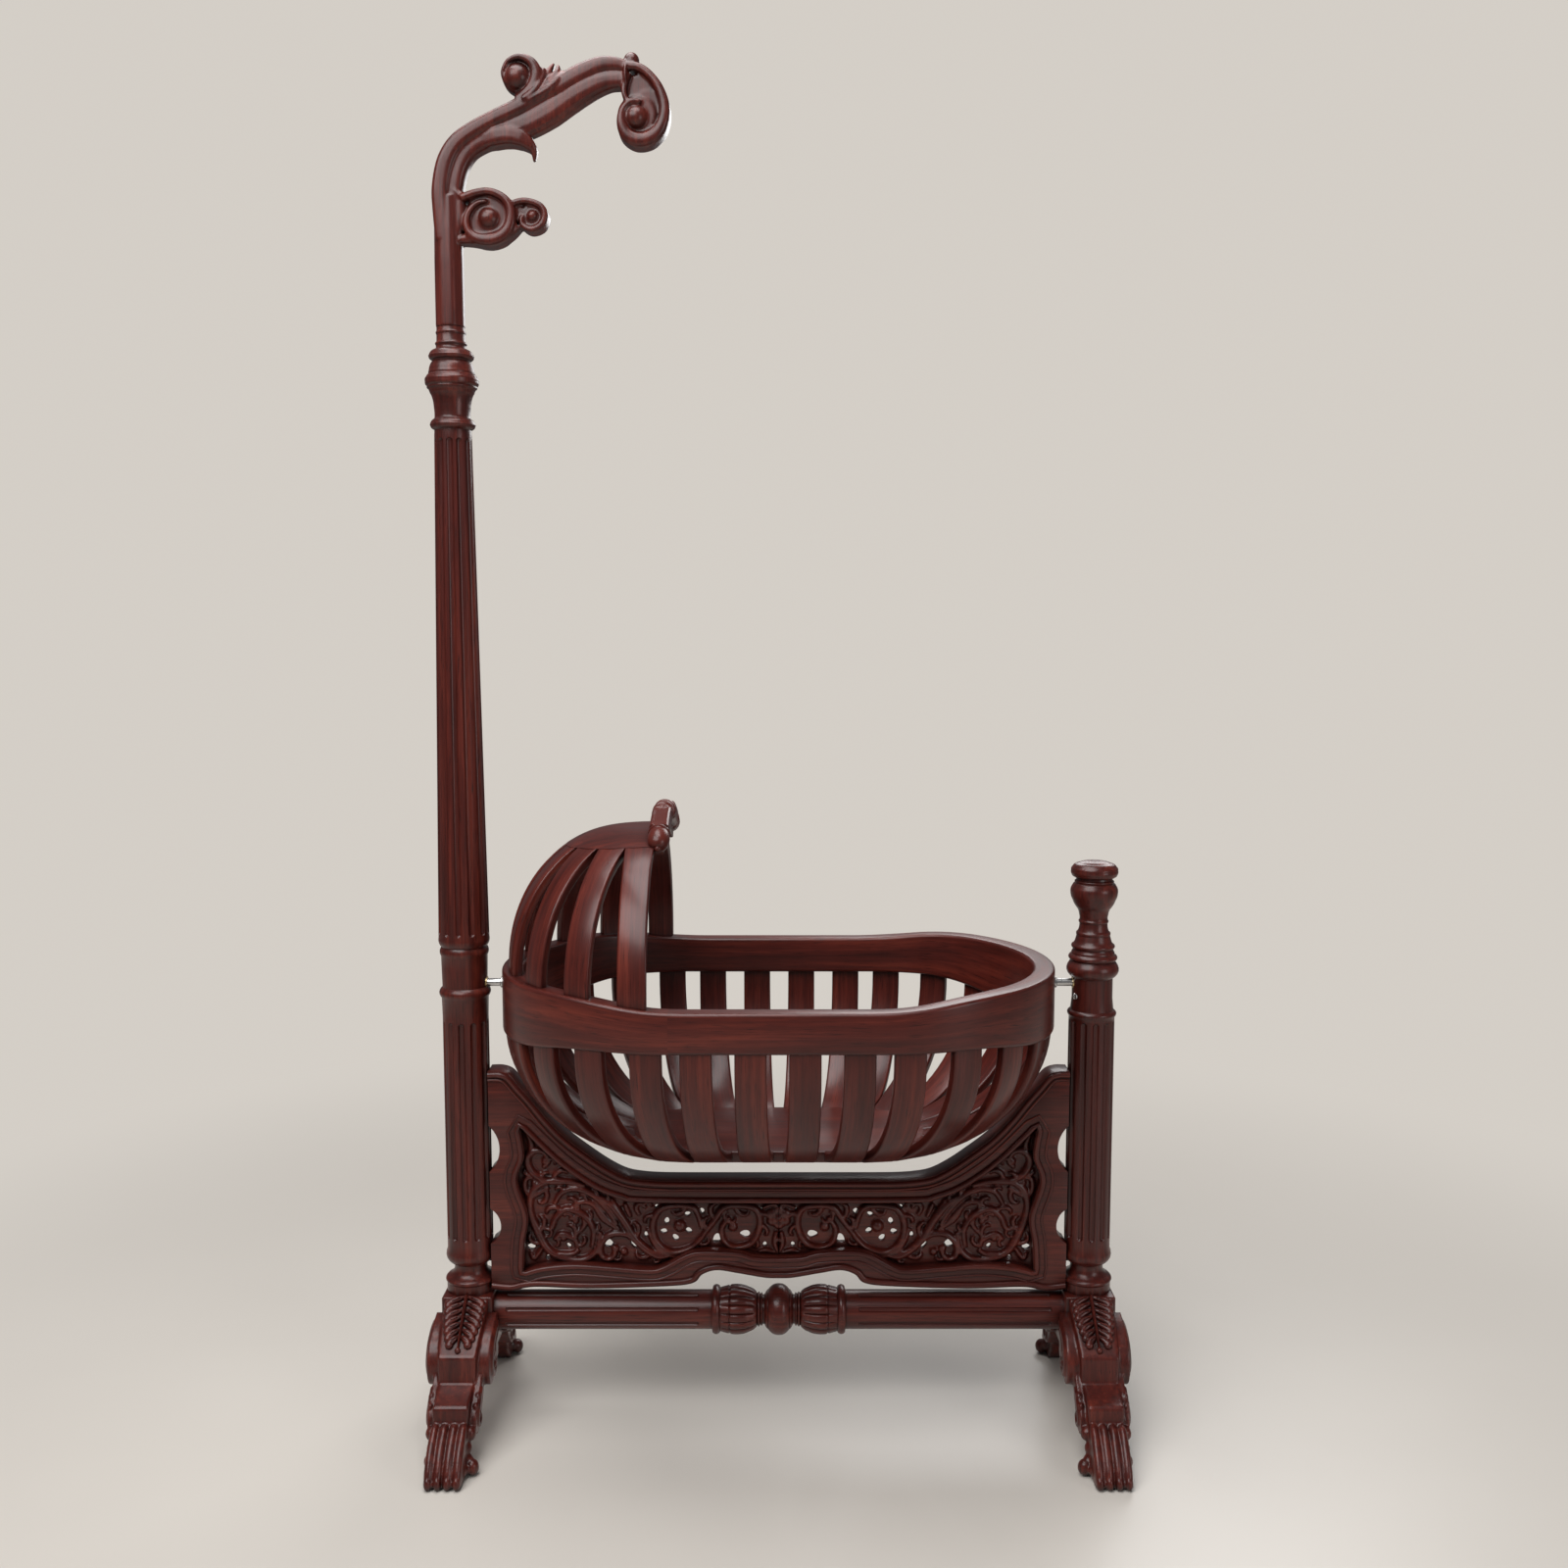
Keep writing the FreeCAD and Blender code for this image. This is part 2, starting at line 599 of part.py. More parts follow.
def panel_curves():
    half = half_spacing - panel_seat_share * post_radius - size("panel_edge_gap")
    scaled = {}
    scaled["top"] = [(across * half, panel_level(1 + share)) for across, share in panel_top_shares]
    for key, table in (("bottom", panel_bottom_shares), ("open_top", opening_top_shares),
                       ("open_side", opening_side_shares), ("open_bottom", opening_bottom_shares)):
        scaled[key] = [(across * half, panel_level(share)) for across, share in table]
    return half, scaled


def basket_room():
    # the space that the basket's outline takes at the middle, grown by its clearance
    gap = size("panel_basket_clearance")
    bend = size("slat_bend_radius")
    centre = end_centre + size("basket_half_width") - size("slat_setback") - bend
    through = size("panel_thickness") + 2 * overrun
    back = through / 2
    far = size("basket_half_length") + gap
    reach = bend + gap
    rooms = [Part.makeBox(2 * far, through, tall_post_top - slat_bend_height,
                          Vector(-far, -back, slat_bend_height)),
             Part.makeBox(2 * centre, through, reach, Vector(-centre, -back, slat_bend_height - reach))]
    for side in (-1, 1):
        rooms.append(Part.makeCylinder(reach, through, Vector(side * centre, back, slat_bend_height),
                                       Vector(0, -1, 0)))
    return rooms


def mirrored_left(points):
    return [(-across, up) for across, up in reversed(points)]


def opening_wire(scaled, place):
    top = mirrored_left(scaled["open_top"])[:-1] + scaled["open_top"]
    side = [scaled["open_top"][-1]] + scaled["open_side"]
    bottom = [scaled["open_side"][-1]] + scaled["open_bottom"]
    bottom = bottom + mirrored_left(bottom)[1:]
    edges = [smooth_edge(top, place), smooth_edge(side, place), smooth_edge(bottom, place),
             smooth_edge(mirrored_left(side), place)]
    return Part.Wire(Part.__sortEdges__(edges))


def make_panel():
    half, scaled = panel_curves()
    back = size("panel_thickness") / 2
    top_right = scaled["top"]
    bottom_right = scaled["bottom"]
    bottom = mirrored_left(bottom_right)[:-1] + bottom_right
    straight = Part.LineSegment(Vector(-top_right[0][0], back, top_right[0][1]),
                                Vector(top_right[0][0], back, top_right[0][1])).toShape()
    edges = [straight, smooth_edge(top_right, back), smooth_edge(mirrored_left(top_right), back),
             smooth_edge(bottom, back)]
    for side in (-1, 1):
        edges.append(Part.LineSegment(Vector(side * half, back, top_right[-1][1]),
                                      Vector(side * half, back, bottom_right[-1][1])).toShape())
    face = Part.Face(Part.Wire(Part.__sortEdges__(edges)))
    solid = face.extrude(Vector(0, -size("panel_thickness"), 0))
    hole = Part.Face(opening_wire(scaled, back + overrun))
    cuts = [hole.extrude(Vector(0, -size("panel_thickness") - 2 * overrun, 0))]
    cuts += basket_room()
    for side in (-1, 1):
        # room for the turned foot of the post
        cuts.append(Part.makeCylinder(block_half + size("panel_edge_gap"), size("foot_turning_height"),
                                      Vector(side * half_spacing, 0, block_top)))
        for place_share, length_share in scallop_shares:
            depth = size("scallop_depth")
            level = size("panel_bottom_height") + place_share * panel_side
            length = length_share * panel_side
            radius = (depth * depth + length * length / 4) / (2 * depth)
            centre = Vector(side * (half - depth + radius), back + overrun, level)
            cuts.append(Part.makeCylinder(radius, size("panel_thickness") + 2 * overrun, centre,
                                          Vector(0, -1, 0)))
        for level in panel_dowel_levels:
            start = Vector(side * (half + overrun), 0, level)
            cuts.append(Part.makeCylinder(size("dowel_radius"), dowel_reach / 2 + overrun, start,
                                          Vector(-side, 0, 0)))
    keep("apron_panel", solid.cut(cuts))


# Scrollwork that fills the panel's opening. Scroll rows: across share and height
# share of the opening, radius share of its height, hand, and angle of the outer end.
scroll_shares = [
    (0.690, 0.50, 0.46, 1, 200), (0.830, 1.22, 0.24, -1, 70), (0.560, 0.17, 0.24, -1, 270),
    (0.330, 0.50, 0.30, -1, 330), (0.160, 0.52, 0.34, 1, 0), (0.455, 0.60, 0.22, 1, 300),
    (0.800, 0.22, 0.22, 1, 60),
]
hole_shares = [
    (0.075, 0.20), (0.075, 0.82), (0.245, 0.22), (0.245, 0.80), (0.400, 0.24), (0.400, 0.88),
    (0.510, 0.48), (0.610, 0.90), (0.640, 0.12), (0.760, 0.90), (0.780, 0.40), (0.850, 0.72),
]
flower_petals = 6
petal_spread_share = 1.6
half_turns = 4
shrink_share = 0.70
bar_width_share = 0.20
eye_share = 0.90


def spiral_bar(centre, radius, hand, start_angle, height):
    # a flat bar along half circles that shrink at each half turn, with a round eye at its end
    width = radius * bar_width_share
    outer = []
    inner = []
    middle = centre
    angle = start_angle
    for _ in range(half_turns):
        turns = [math.radians(angle + hand * swept) for swept in (0, 90, 180)]
        ways = [Vector(math.cos(turn), 0, math.sin(turn)) for turn in turns]
        outer.append(Part.Arc(*[middle + way * radius for way in ways]).toShape())
        inner.append(Part.Arc(*[middle + way * (radius - width) for way in ways]).toShape())
        eye = middle + ways[-1] * (radius - width / 2)
        middle = middle + ways[-1] * radius * (1 - shrink_share)
        radius = radius * shrink_share
        angle += hand * 180
    ends = [Part.LineSegment(outer[place].Vertexes[place].Point, inner[place].Vertexes[place].Point).toShape()
            for place in (0, -1)]
    bar = Part.Face(Part.Wire(Part.__sortEdges__(outer + inner + ends)))
    return [bar.extrude(Vector(0, -height, 0)),
            Part.makeCylinder(width * eye_share, height, eye, Vector(0, -1, 0))]


def make_scrollwork():
    half, scaled = panel_curves()
    thickness = size("scroll_plate_thickness")
    relief = size("scroll_relief")
    foot = scaled["open_bottom"][3][1]
    height = scaled["open_top"][0][1] - foot
    blank = Part.makeBox(2 * half, thickness, size("panel_top_height"), Vector(-half, -thickness / 2, 0))
    holes = []
    ridges = []
    for side in (-1, 1):
        for across, rise in hole_shares:
            start = Vector(side * across * half, thickness, foot + rise * height)
            holes.append(Part.makeCylinder(size("pierced_hole_radius"), 2 * thickness, start,
                                           Vector(0, -1, 0)))
        for across, rise, radius_share, hand, start_angle in scroll_shares:
            centre = Vector(side * across * half, 0, foot + rise * height)
            # the other half of the panel is its mirror image
            turn = start_angle if side > 0 else 180 - start_angle
            ridges += spiral_bar(centre, radius_share * height, hand * side, turn, thickness / 2 + relief)
    flower = Vector(0, 0, foot + height / 2)
    petal = size("flower_petal_radius")
    for number in range(flower_petals):
        angle = 2 * math.pi * number / flower_petals
        place = flower + Vector(math.cos(angle), 0, math.sin(angle)) * petal * petal_spread_share
        ridges.append(Part.makeCylinder(petal, thickness / 2 + relief, place, Vector(0, -1, 0)))
    ridges.append(Part.makeCylinder(petal, thickness / 2 + relief + size("flower_boss_rise"), flower,
                                    Vector(0, -1, 0)))
    carved = blank.cut(holes).multiFuse(ridges)
    fence = Part.Face(opening_wire(scaled, size("panel_thickness") / 2))
    keep("panel_scrollwork", carved.common(fence.extrude(Vector(0, -size("panel_thickness"), 0))))


# Basket slats. The outline lies in a radial plane: across is the distance from the
# centre line of the basket's round end, up is the height.
def slat_outline():
    outer = size("basket_half_width") - size("slat_setback")
    thickness = size("slat_thickness")
    bend = size("slat_bend_radius")
    height = slat_bend_height
    centre = outer - bend
    board_edge = size("board_half_width")
    inner_bend = bend - thickness
    top = band_foot_middle + size("slat_tenon")
    offset = board_edge - centre

    def on_arc(radius, angle):
        return Vector(centre + radius * math.cos(angle), height - radius * math.sin(angle), 0)

    outer_foot = math.acos(offset / bend)
    inner_foot = math.acos(offset / inner_bend)
    return [
        Part.LineSegment(Vector(outer, top, 0), Vector(outer, height, 0)),
        Part.Arc(on_arc(bend, 0), on_arc(bend, outer_foot / 2), on_arc(bend, outer_foot)),
        Part.LineSegment(on_arc(bend, outer_foot), on_arc(inner_bend, inner_foot)),
        Part.Arc(on_arc(inner_bend, inner_foot), on_arc(inner_bend, inner_foot / 2),
                 on_arc(inner_bend, 0)),
        Part.LineSegment(Vector(outer - thickness, height, 0), Vector(outer - thickness, top, 0)),
        Part.LineSegment(Vector(outer - thickness, top, 0), Vector(outer, top, 0)),
    ]


def trim_to_wedge(body, name, half_angles):
    # takes off each side what lies past its half angle from the radial plane
    far = size("basket_half_width") + overrun
    side = size("slat_width")
    for hand, half_angle in zip((-1, 1), half_angles):
        slope = math.tan(math.radians(half_angle)) * far
        points = [(0, 0, 0), (far, hand * slope, 0), (far, hand * (slope + side), 0),
                  (0, hand * side, 0)]
        if hand < 0:
            points.reverse()
        sketch = new_sketch(body, "XY_Plane", "%s_trim_%d" % (name, hand + 1), outline_edges(points))
        pocket = body.newObject("PartDesign::Pocket", "%s_pocket_%d" % (name, hand + 1))
        pocket.Profile = sketch
        pocket.Type = "ThroughAll"
        pocket.Midplane = True
    body.Tip = pocket


def make_basket_slat(name, x_place, turn, half_angles):
    body = new_body(name)
    sketch = new_sketch(body, "XZ_Plane", name + "_side", slat_outline())
    pad = body.newObject("PartDesign::Pad", name + "_bend")
    pad.Profile = sketch
    pad.Midplane = True
    pad.setExpression("Length", "sizes.slat_width")
    if half_angles:
        trim_to_wedge(body, name, half_angles)
    body.Placement = Placement(Vector(x_place, 0, 0), Rotation(Vector(0, 0, 1), turn))


def make_basket_slats():
    names = []
    side_count = int(size("side_slats"))
    side_pitch = 2 * end_centre / side_count
    for side, side_word in ((-1, "front"), (1, "back")):
        for number in range(side_count):
            place = (number - (side_count - 1) / 2) * side_pitch
            name = "%s_slat_%d" % (side_word, number + 1)
            make_basket_slat(name, place, side * half_turn / 2, None)
            names.append(name)
    end_count = int(size("end_slats"))
    first_angle = size("first_slat_angle")
    pitch = (half_turn - 2 * first_angle) / (end_count - 1)
    for side, end_word in ((-1, "head"), (1, "foot")):
        for number in range(end_count):
            angle = first_angle + number * pitch - half_turn / 2
            turn = angle if side > 0 else half_turn - angle
            name = "%s_slat_%d" % (end_word, number + 1)
            # the outermost slats stop at the line where the basket's straight sides begin
            below = first_angle if number == 0 else pitch / 2
            above = first_angle if number == end_count - 1 else pitch / 2
            half_angles = (below, above) if side > 0 else (above, below)
            make_basket_slat(name, side * end_centre, turn, half_angles)
            names.append(name)
    return names


# Hood slats rise from the band and lean in to a crown over the head end.
def hood_foot(angle):
    radius = size("basket_half_width") - size("band_thickness") / 2 + size("hood_slat_thickness") / 2
    return Vector(-end_centre - radius * math.sin(angle), -radius * math.cos(angle), 0)


def ellipse_arc(centre, across, up, first, last):
    # arc of an upright ellipse in sketch axes between two of its points
    if across >= up:
        ellipse = Part.Ellipse(centre + Vector(across, 0, 0), centre + Vector(0, up, 0), centre)
    else:
        ellipse = Part.Ellipse(centre + Vector(0, up, 0), centre + Vector(across, 0, 0), centre)
    ends = sorted((ellipse.parameter(first), ellipse.parameter(last)))
    if ends[1] - ends[0] > math.pi:
        ends = [ends[1], ends[0] + 2 * math.pi]
    return Part.ArcOfEllipse(ellipse, ends[0], ends[1])


def dome_height(distance, foot_radius, thickness):
    flat = size("hood_flat")
    across = foot_radius - flat - thickness
    up = size("hood_height") - thickness
    share = max(0.0, distance - flat) / across
    return band_top_end + up * math.sqrt(1 - share * share)


def dome_outline(foot_radius, start, low):
    # closed outline of a bent hood piece from the distance start to the foot
    thickness = size("hood_slat_thickness")
    flat = size("hood_flat")
    base = band_top_end
    centre = Vector(flat, base, 0)
    outer_up = size("hood_height")
    outer_start = Vector(start, dome_height(start, foot_radius, 0), 0)
    inner_start = Vector(start, dome_height(start, foot_radius, thickness), 0)
    outer_end = Vector(foot_radius, base, 0)
    inner_end = Vector(foot_radius - thickness, base, 0)
    outer_low = Vector(foot_radius, low, 0)
    inner_low = Vector(foot_radius - thickness, low, 0)
    return [
        ellipse_arc(centre, foot_radius - flat, outer_up, outer_start, outer_end),
        Part.LineSegment(outer_end, outer_low),
        Part.LineSegment(outer_low, inner_low),
        Part.LineSegment(inner_low, inner_end),
        ellipse_arc(centre, foot_radius - flat - thickness, outer_up - thickness, inner_end, inner_start),
        Part.LineSegment(inner_start, outer_start),
    ]


def make_hood_slats():
    names = []
    count = int(size("hood_slats"))
    pitch = (half_turn - 2 * size("hood_first_angle")) / (count - 1)
    pole = Vector(hood_pole, 0, 0)
    for number in range(count):
        angle = math.radians(size("hood_first_angle") + number * pitch)
        way = hood_foot(angle) - pole
        turn = math.degrees(math.atan2(way.y, way.x))
        if number in (0, count - 1):
            turn = -90 if number == 0 else 90
        name = "hood_slat_%d" % (number + 1)
        body = new_body(name)
        start = size("crown_radius") - overrun
        sketch = new_sketch(body, "XZ_Plane", name + "_side",
                            dome_outline(way.Length, start, hood_tenon_foot))
        pad = body.newObject("PartDesign::Pad", name + "_bend")
        pad.Profile = sketch
        pad.Midplane = True
        pad.setExpression("Length", "sizes.hood_slat_width")
        circle = Part.Circle(Vector(0, 0, 0), Vector(0, 0, 1), size("crown_radius"))
        seat = new_sketch(body, "XY_Plane", name + "_seat", [circle])
        pocket = body.newObject("PartDesign::Pocket", name + "_seat_cut")
        pocket.Profile = seat
        pocket.Type = "ThroughAll"
        pocket.Midplane = True
        body.Tip = pocket
        body.Placement = Placement(pole, Rotation(Vector(0, 0, 1), turn))
        names.append(name)
    return names


def make_hood_crown():
    # half dome about the pole with a straight strip up to the hood's front
    thickness = size("hood_slat_thickness")
    radius = size("crown_radius")
    mean_foot = (hood_foot(0) - Vector(-end_centre, 0, 0)).Length - size("band_thickness")
    top = band_top_end + size("hood_height")
    flat = size("hood_flat")
    base = Vector(flat, band_top_end, 0)
    outer_end = Vector(radius, dome_height(radius, mean_foot, 0), 0)
    inner_end = Vector(radius, dome_height(radius, mean_foot, thickness), 0)
    edges = [
        Part.LineSegment(Vector(0, top, 0), Vector(flat, top, 0)),
        ellipse_arc(base, mean_foot - flat, size("hood_height"), Vector(flat, top, 0), outer_end),
        Part.LineSegment(outer_end, inner_end),
        ellipse_arc(base, mean_foot - flat - thickness, size("hood_height") - thickness, inner_end,
                    Vector(flat, top - thickness, 0)),
        Part.LineSegment(Vector(flat, top - thickness, 0), Vector(0, top - thickness, 0)),
        Part.LineSegment(Vector(0, top - thickness, 0), Vector(0, top, 0)),
    ]
    face = Part.Face(Part.Wire([edge.toShape() for edge in edges]))
    face.rotate(Vector(0, 0, 0), Vector(1, 0, 0), 90)
    face.rotate(Vector(0, 0, 0), Vector(0, 0, 1), 90)
    dome = face.revolve(Vector(0, 0, 0), Vector(0, 0, 1), 180)
    strip = face.extrude(Vector(size("hood_slat_width") / 2, 0, 0))
    other = strip.mirror(Vector(0, 0, 0), Vector(0, 1, 0))
    plan = Part.makeCylinder(radius, size("hood_height") + overrun, Vector(0, 0, band_top_end))
    crown = dome.fuse([strip, other]).removeSplitter().common(plan)
    crown.translate(Vector(hood_pole, 0, 0))
    keep("hood_crown", crown)
    return crown


# Band around the rim. Its top rises and its foot drops towards the ends.
def stadium(radius, foot, height):
    box = Part.makeBox(2 * end_centre, 2 * radius, height, Vector(-end_centre, -radius, foot))
    ends = [Part.makeCylinder(radius, height, Vector(side * end_centre, 0, foot)) for side in (-1, 1)]
    return box.multiFuse(ends).removeSplitter()


def wave_face(middle, end, beyond):
    # what lies past an edge that runs level, then in an S-curve to its end height
    flat = size("band_flat_half")
    rise = size("band_rise_half")
    far = size("basket_half_length") + overrun
    half_way = (flat + rise) / 2
    half_rise = (middle + end) / 2
    run = half_way - flat
    drop = abs(half_rise - middle)
    radius = (run * run + drop * drop) / (2 * drop)
    sagitta = radius - math.sqrt(radius * radius - (run * run + drop * drop) / 4)
    hand = 1 if end > middle else -1
    right = [(flat, middle, 0), (half_way, half_rise, hand * sagitta),
             (rise, end, -hand * sagitta), (far, end, 0)]
    left = [(-far, end, 0), (-rise, end, 0), (-half_way, half_rise, -hand * sagitta),
            (-flat, middle, hand * sagitta)]
    closing = [(far, beyond, 0), (-far, beyond, 0)]
    return flat_face(left + right + closing, size("basket_half_width") + overrun)


def make_band(slat_names):
    foot = band_foot_end
    height = band_top_end - foot
    outer = stadium(size("basket_half_width"), foot, height)
    inner = stadium(size("basket_half_width") - size("band_thickness"), foot - overrun,
                    height + 2 * overrun)
    across = Vector(0, -2 * (size("basket_half_width") + overrun), 0)
    over = wave_face(band_top_middle, band_top_end, band_top_end + overrun)
    under = wave_face(band_foot_middle, foot, foot - overrun)
    pieces = [inner, over.extrude(across), under.extrude(across)]
    for side in (-1, 1):
        start = Vector(side * (size("basket_half_length") + overrun), 0, pivot_height)
        pieces.append(Part.makeCylinder(size("pin_radius"), size("band_thickness") / 2 + overrun,
                                        start, Vector(-side, 0, 0)))
    slats = [finished[name].Shape for name in slat_names]
    keep("rim_band", outer.cut(pieces).cut(slats))


def make_board():
    foot = slat_bend_height - size("slat_bend_radius")
    board = stadium(size("board_half_width"), foot + size("board_lift"), size("board_thickness"))
    keep("bottom_board", board)


# Crest handle rows: start and end shares of its half angle, radius share.
crest_ring_shares = [
    (-1.0, 1.0, 1.0), (-0.80, -0.72, 1.15), (-0.12, 0.12, 1.16), (0.72, 0.80, 1.15),
    (-0.30, -0.25, 1.12), (0.25, 0.30, 1.12),
]
crest_button_share = 0.33


def make_crest(neighbours):
    # turned handle bent to an arc over the hood's front, on a shallow web
    bend = size("crest_bend_radius")
    radius = size("crest_radius")
    front = hood_pole + size("hood_slat_width") / 2
    top = band_top_end + size("hood_height") + size("crest_rise")
    centre = Vector(front + size("crest_front"), 0, top - bend)
    half_angle = size("crest_half_angle")
    pieces = []
    for start_share, end_share, radius_share in crest_ring_shares:
        sweep = (end_share - start_share) * half_angle
        tube = Part.makeTorus(bend, radius * radius_share, Vector(0, 0, 0), Vector(0, 0, 1),
                              0, 360, sweep)
        tube.rotate(Vector(0, 0, 0), Vector(0, 0, 1), start_share * half_angle)
        pieces.append(tube)
    for side in (-1, 1):
        angle = math.radians(side * half_angle)
        end = Vector(math.cos(angle), math.sin(angle), 0) * bend
        pieces.append(Part.makeSphere(radius, end))
        along = Vector(-math.sin(angle), math.cos(angle), 0) * side
        pieces.append(Part.makeSphere(radius * crest_button_share, end + along * radius))
    web = size("crest_web_thickness")
    depth = size("crest_rise") + overrun
    arc_out = Part.makeCylinder(bend, web, Vector(0, 0, 0), Vector(0, 0, 1), 2 * half_angle)
    arc_in = Part.makeCylinder(bend - depth, web, Vector(0, 0, 0), Vector(0, 0, 1), 2 * half_angle)
    plate = arc_out.cut(arc_in)
    plate.rotate(Vector(0, 0, 0), Vector(0, 0, 1), -half_angle)
    plate.translate(Vector(0, 0, size("crest_front") - web))
    pieces.append(plate)
    crest = pieces[0].multiFuse(pieces[1:])
    # local X becomes up and local Z points away from the hood's mouth
    crest.rotate(Vector(0, 0, 0), Vector(0, 1, 0), -90)
    crest.translate(centre)
    keep("crest_handle", crest.cut(neighbours))


def make_pivots():
    for side, word in ((-1, "left"), (1, "right")):
        rim_face = size("basket_half_length")
        inner_end = rim_face - size("band_thickness") / 2
        outer_end = post_inner_face[side] + size("pin_in_post")
        way = Vector(side, 0, 0)
        rod = Part.makeCylinder(size("pin_radius"), outer_end - inner_end,
                                way * inner_end + Vector(0, 0, pivot_height), way)
        collar = Part.makeCylinder(size("pin_collar_radius"), size("pin_collar_length"),
                                   way * rim_face + Vector(0, 0, pivot_height), way)
        keep(word + "_pivot_pin", rod.fuse(collar).removeSplitter())
        start = way * post_inner_face[side] + Vector(0, 0, pivot_height)
        bore = size("pin_radius") + size("pin_fit")
        sleeve = Part.makeCylinder(bore + size("bush_wall"), pin_hole_depth, start, way)
        hollow = Part.makeCylinder(bore, pin_hole_depth, start, way)
        keep(word + "_pivot_bush", sleeve.cut(hollow))


def make_small_joinery():
    seat = screw_way * screw_seat + Vector(half_spacing, 0, screw_level)
    shank = Part.makeCylinder(size("set_screw_radius"), size("set_screw_length"),
                              seat - screw_way * size("set_screw_length"), screw_way)
    head = Part.makeCylinder(size("set_screw_head_radius"), size("set_screw_head_height"), seat, screw_way)
    keep("bush_set_screw", shank.fuse(head).removeSplitter())
    pegs = []
    for side in (-1, 1):
        for front in (-1, 1):
            for level in dowel_levels:
                start = Vector(side * half_spacing, front * (block_half - dowel_reach), level)
                pegs.append(Part.makeCylinder(size("dowel_radius"), size("dowel_length"), start,
                                              Vector(0, front, 0)))
    keep("leg_dowels", Part.makeCompound(pegs))
    pegs = []
    inner = half_spacing - panel_seat_share * post_radius - size("panel_edge_gap") - dowel_reach / 2
    outer = half_spacing - size("dowel_radius")
    for side in (-1, 1):
        for level in panel_dowel_levels:
            pegs.append(Part.makeCylinder(size("dowel_radius"), outer - inner,
                                          Vector(side * inner, 0, level), Vector(side, 0, 0)))
    keep("panel_dowels", Part.makeCompound(pegs))


make_tall_post()
make_short_post()
make_crook()
for leg_name, leg_side, leg_front in (("front_left_leg", -1, -1), ("back_left_leg", -1, 1),
                                      ("front_right_leg", 1, -1), ("back_right_leg", 1, 1)):
    make_leg(leg_name, leg_side, leg_front)
make_stretcher()
make_panel()
make_scrollwork()
basket_names = make_basket_slats()
hood_names = make_hood_slats()
doc.recompute()
crown_shape = make_hood_crown()
make_band(basket_names + hood_names)
make_board()
make_crest([crown_shape] + [finished[name].Shape for name in hood_names])
make_pivots()
make_small_joinery()
doc.recompute()

# Every object has to be sound before anything is written.
for item in doc.Objects:
    if "Invalid" in item.State or "Error" in item.State:
        raise RuntimeError("failed object: " + item.Name)
for name, item in finished.items():
    if item.Shape.isNull() or not item.Shape.isValid() or not item.Shape.Solids:
        raise RuntimeError("bad shape: " + name)

os.makedirs("parts", exist_ok=True)
for name, item in finished.items():
    item.Shape.exportStep("parts/" + name + ".step")
box = Part.makeCompound([item.Shape for item in finished.values()]).BoundBox
print("nodes", len(finished), "size", round(box.XLength), round(box.YLength), round(box.ZLength))
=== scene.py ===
import math
import re

import bmesh
import bpy
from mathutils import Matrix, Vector


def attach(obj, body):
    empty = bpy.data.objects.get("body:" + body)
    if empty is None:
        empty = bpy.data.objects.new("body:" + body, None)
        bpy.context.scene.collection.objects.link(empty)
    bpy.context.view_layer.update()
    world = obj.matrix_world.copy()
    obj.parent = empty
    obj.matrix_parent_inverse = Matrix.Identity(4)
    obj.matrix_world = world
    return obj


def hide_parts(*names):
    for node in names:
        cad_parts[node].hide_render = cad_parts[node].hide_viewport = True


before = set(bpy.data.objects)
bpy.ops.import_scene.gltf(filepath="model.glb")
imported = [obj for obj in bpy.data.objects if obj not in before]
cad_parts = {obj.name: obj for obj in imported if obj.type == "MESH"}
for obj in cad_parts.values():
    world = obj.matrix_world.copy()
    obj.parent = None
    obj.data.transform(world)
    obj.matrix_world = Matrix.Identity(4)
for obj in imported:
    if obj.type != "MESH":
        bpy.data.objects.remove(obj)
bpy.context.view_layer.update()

# A carved swing cradle in dark lacquered wood. Sizes are in metres, X runs along the cradle,
# Y across it with the front at -Y, and Z up from the floor.
scene = bpy.context.scene
mm = 0.001

cradle = {
    "halfSpacing": 0.445, "postRadius": 0.036, "pivot": 0.636, "blockHalf": 0.036, "blockTop": 0.186,
    "blockFoot": 0.098, "blockRim": 0.003,
    # heights where the turned stretches of both posts, of the tall one and of the short one meet
    "shaftFoot": 0.261, "bandFoot": 0.588, "upperFoot": 0.702, "upperTop": 1.397, "tallTop": 1.541,
    "shortBandTop": 0.678, "shortTop": 0.810,
    # radius at the foot and the top of the fluted stretches, as shares of the post's
    "shaftShares": (0.90, 0.89), "upperShares": (0.98, 0.70),
}


class Value:
    # a node's output that sums can be written with
    def __init__(self, paint, socket):
        self.paint = paint
        self.socket = socket

    def sum(self, operation, pair):
        return self.paint.node("ShaderNodeMath", {"operation": operation}, pair)

    def __add__(self, other):
        return self.sum("ADD", [self, other])

    def __radd__(self, other):
        return self.sum("ADD", [other, self])

    def __mul__(self, other):
        return self.sum("MULTIPLY", [self, other])

    def __rmul__(self, other):
        return self.sum("MULTIPLY", [other, self])


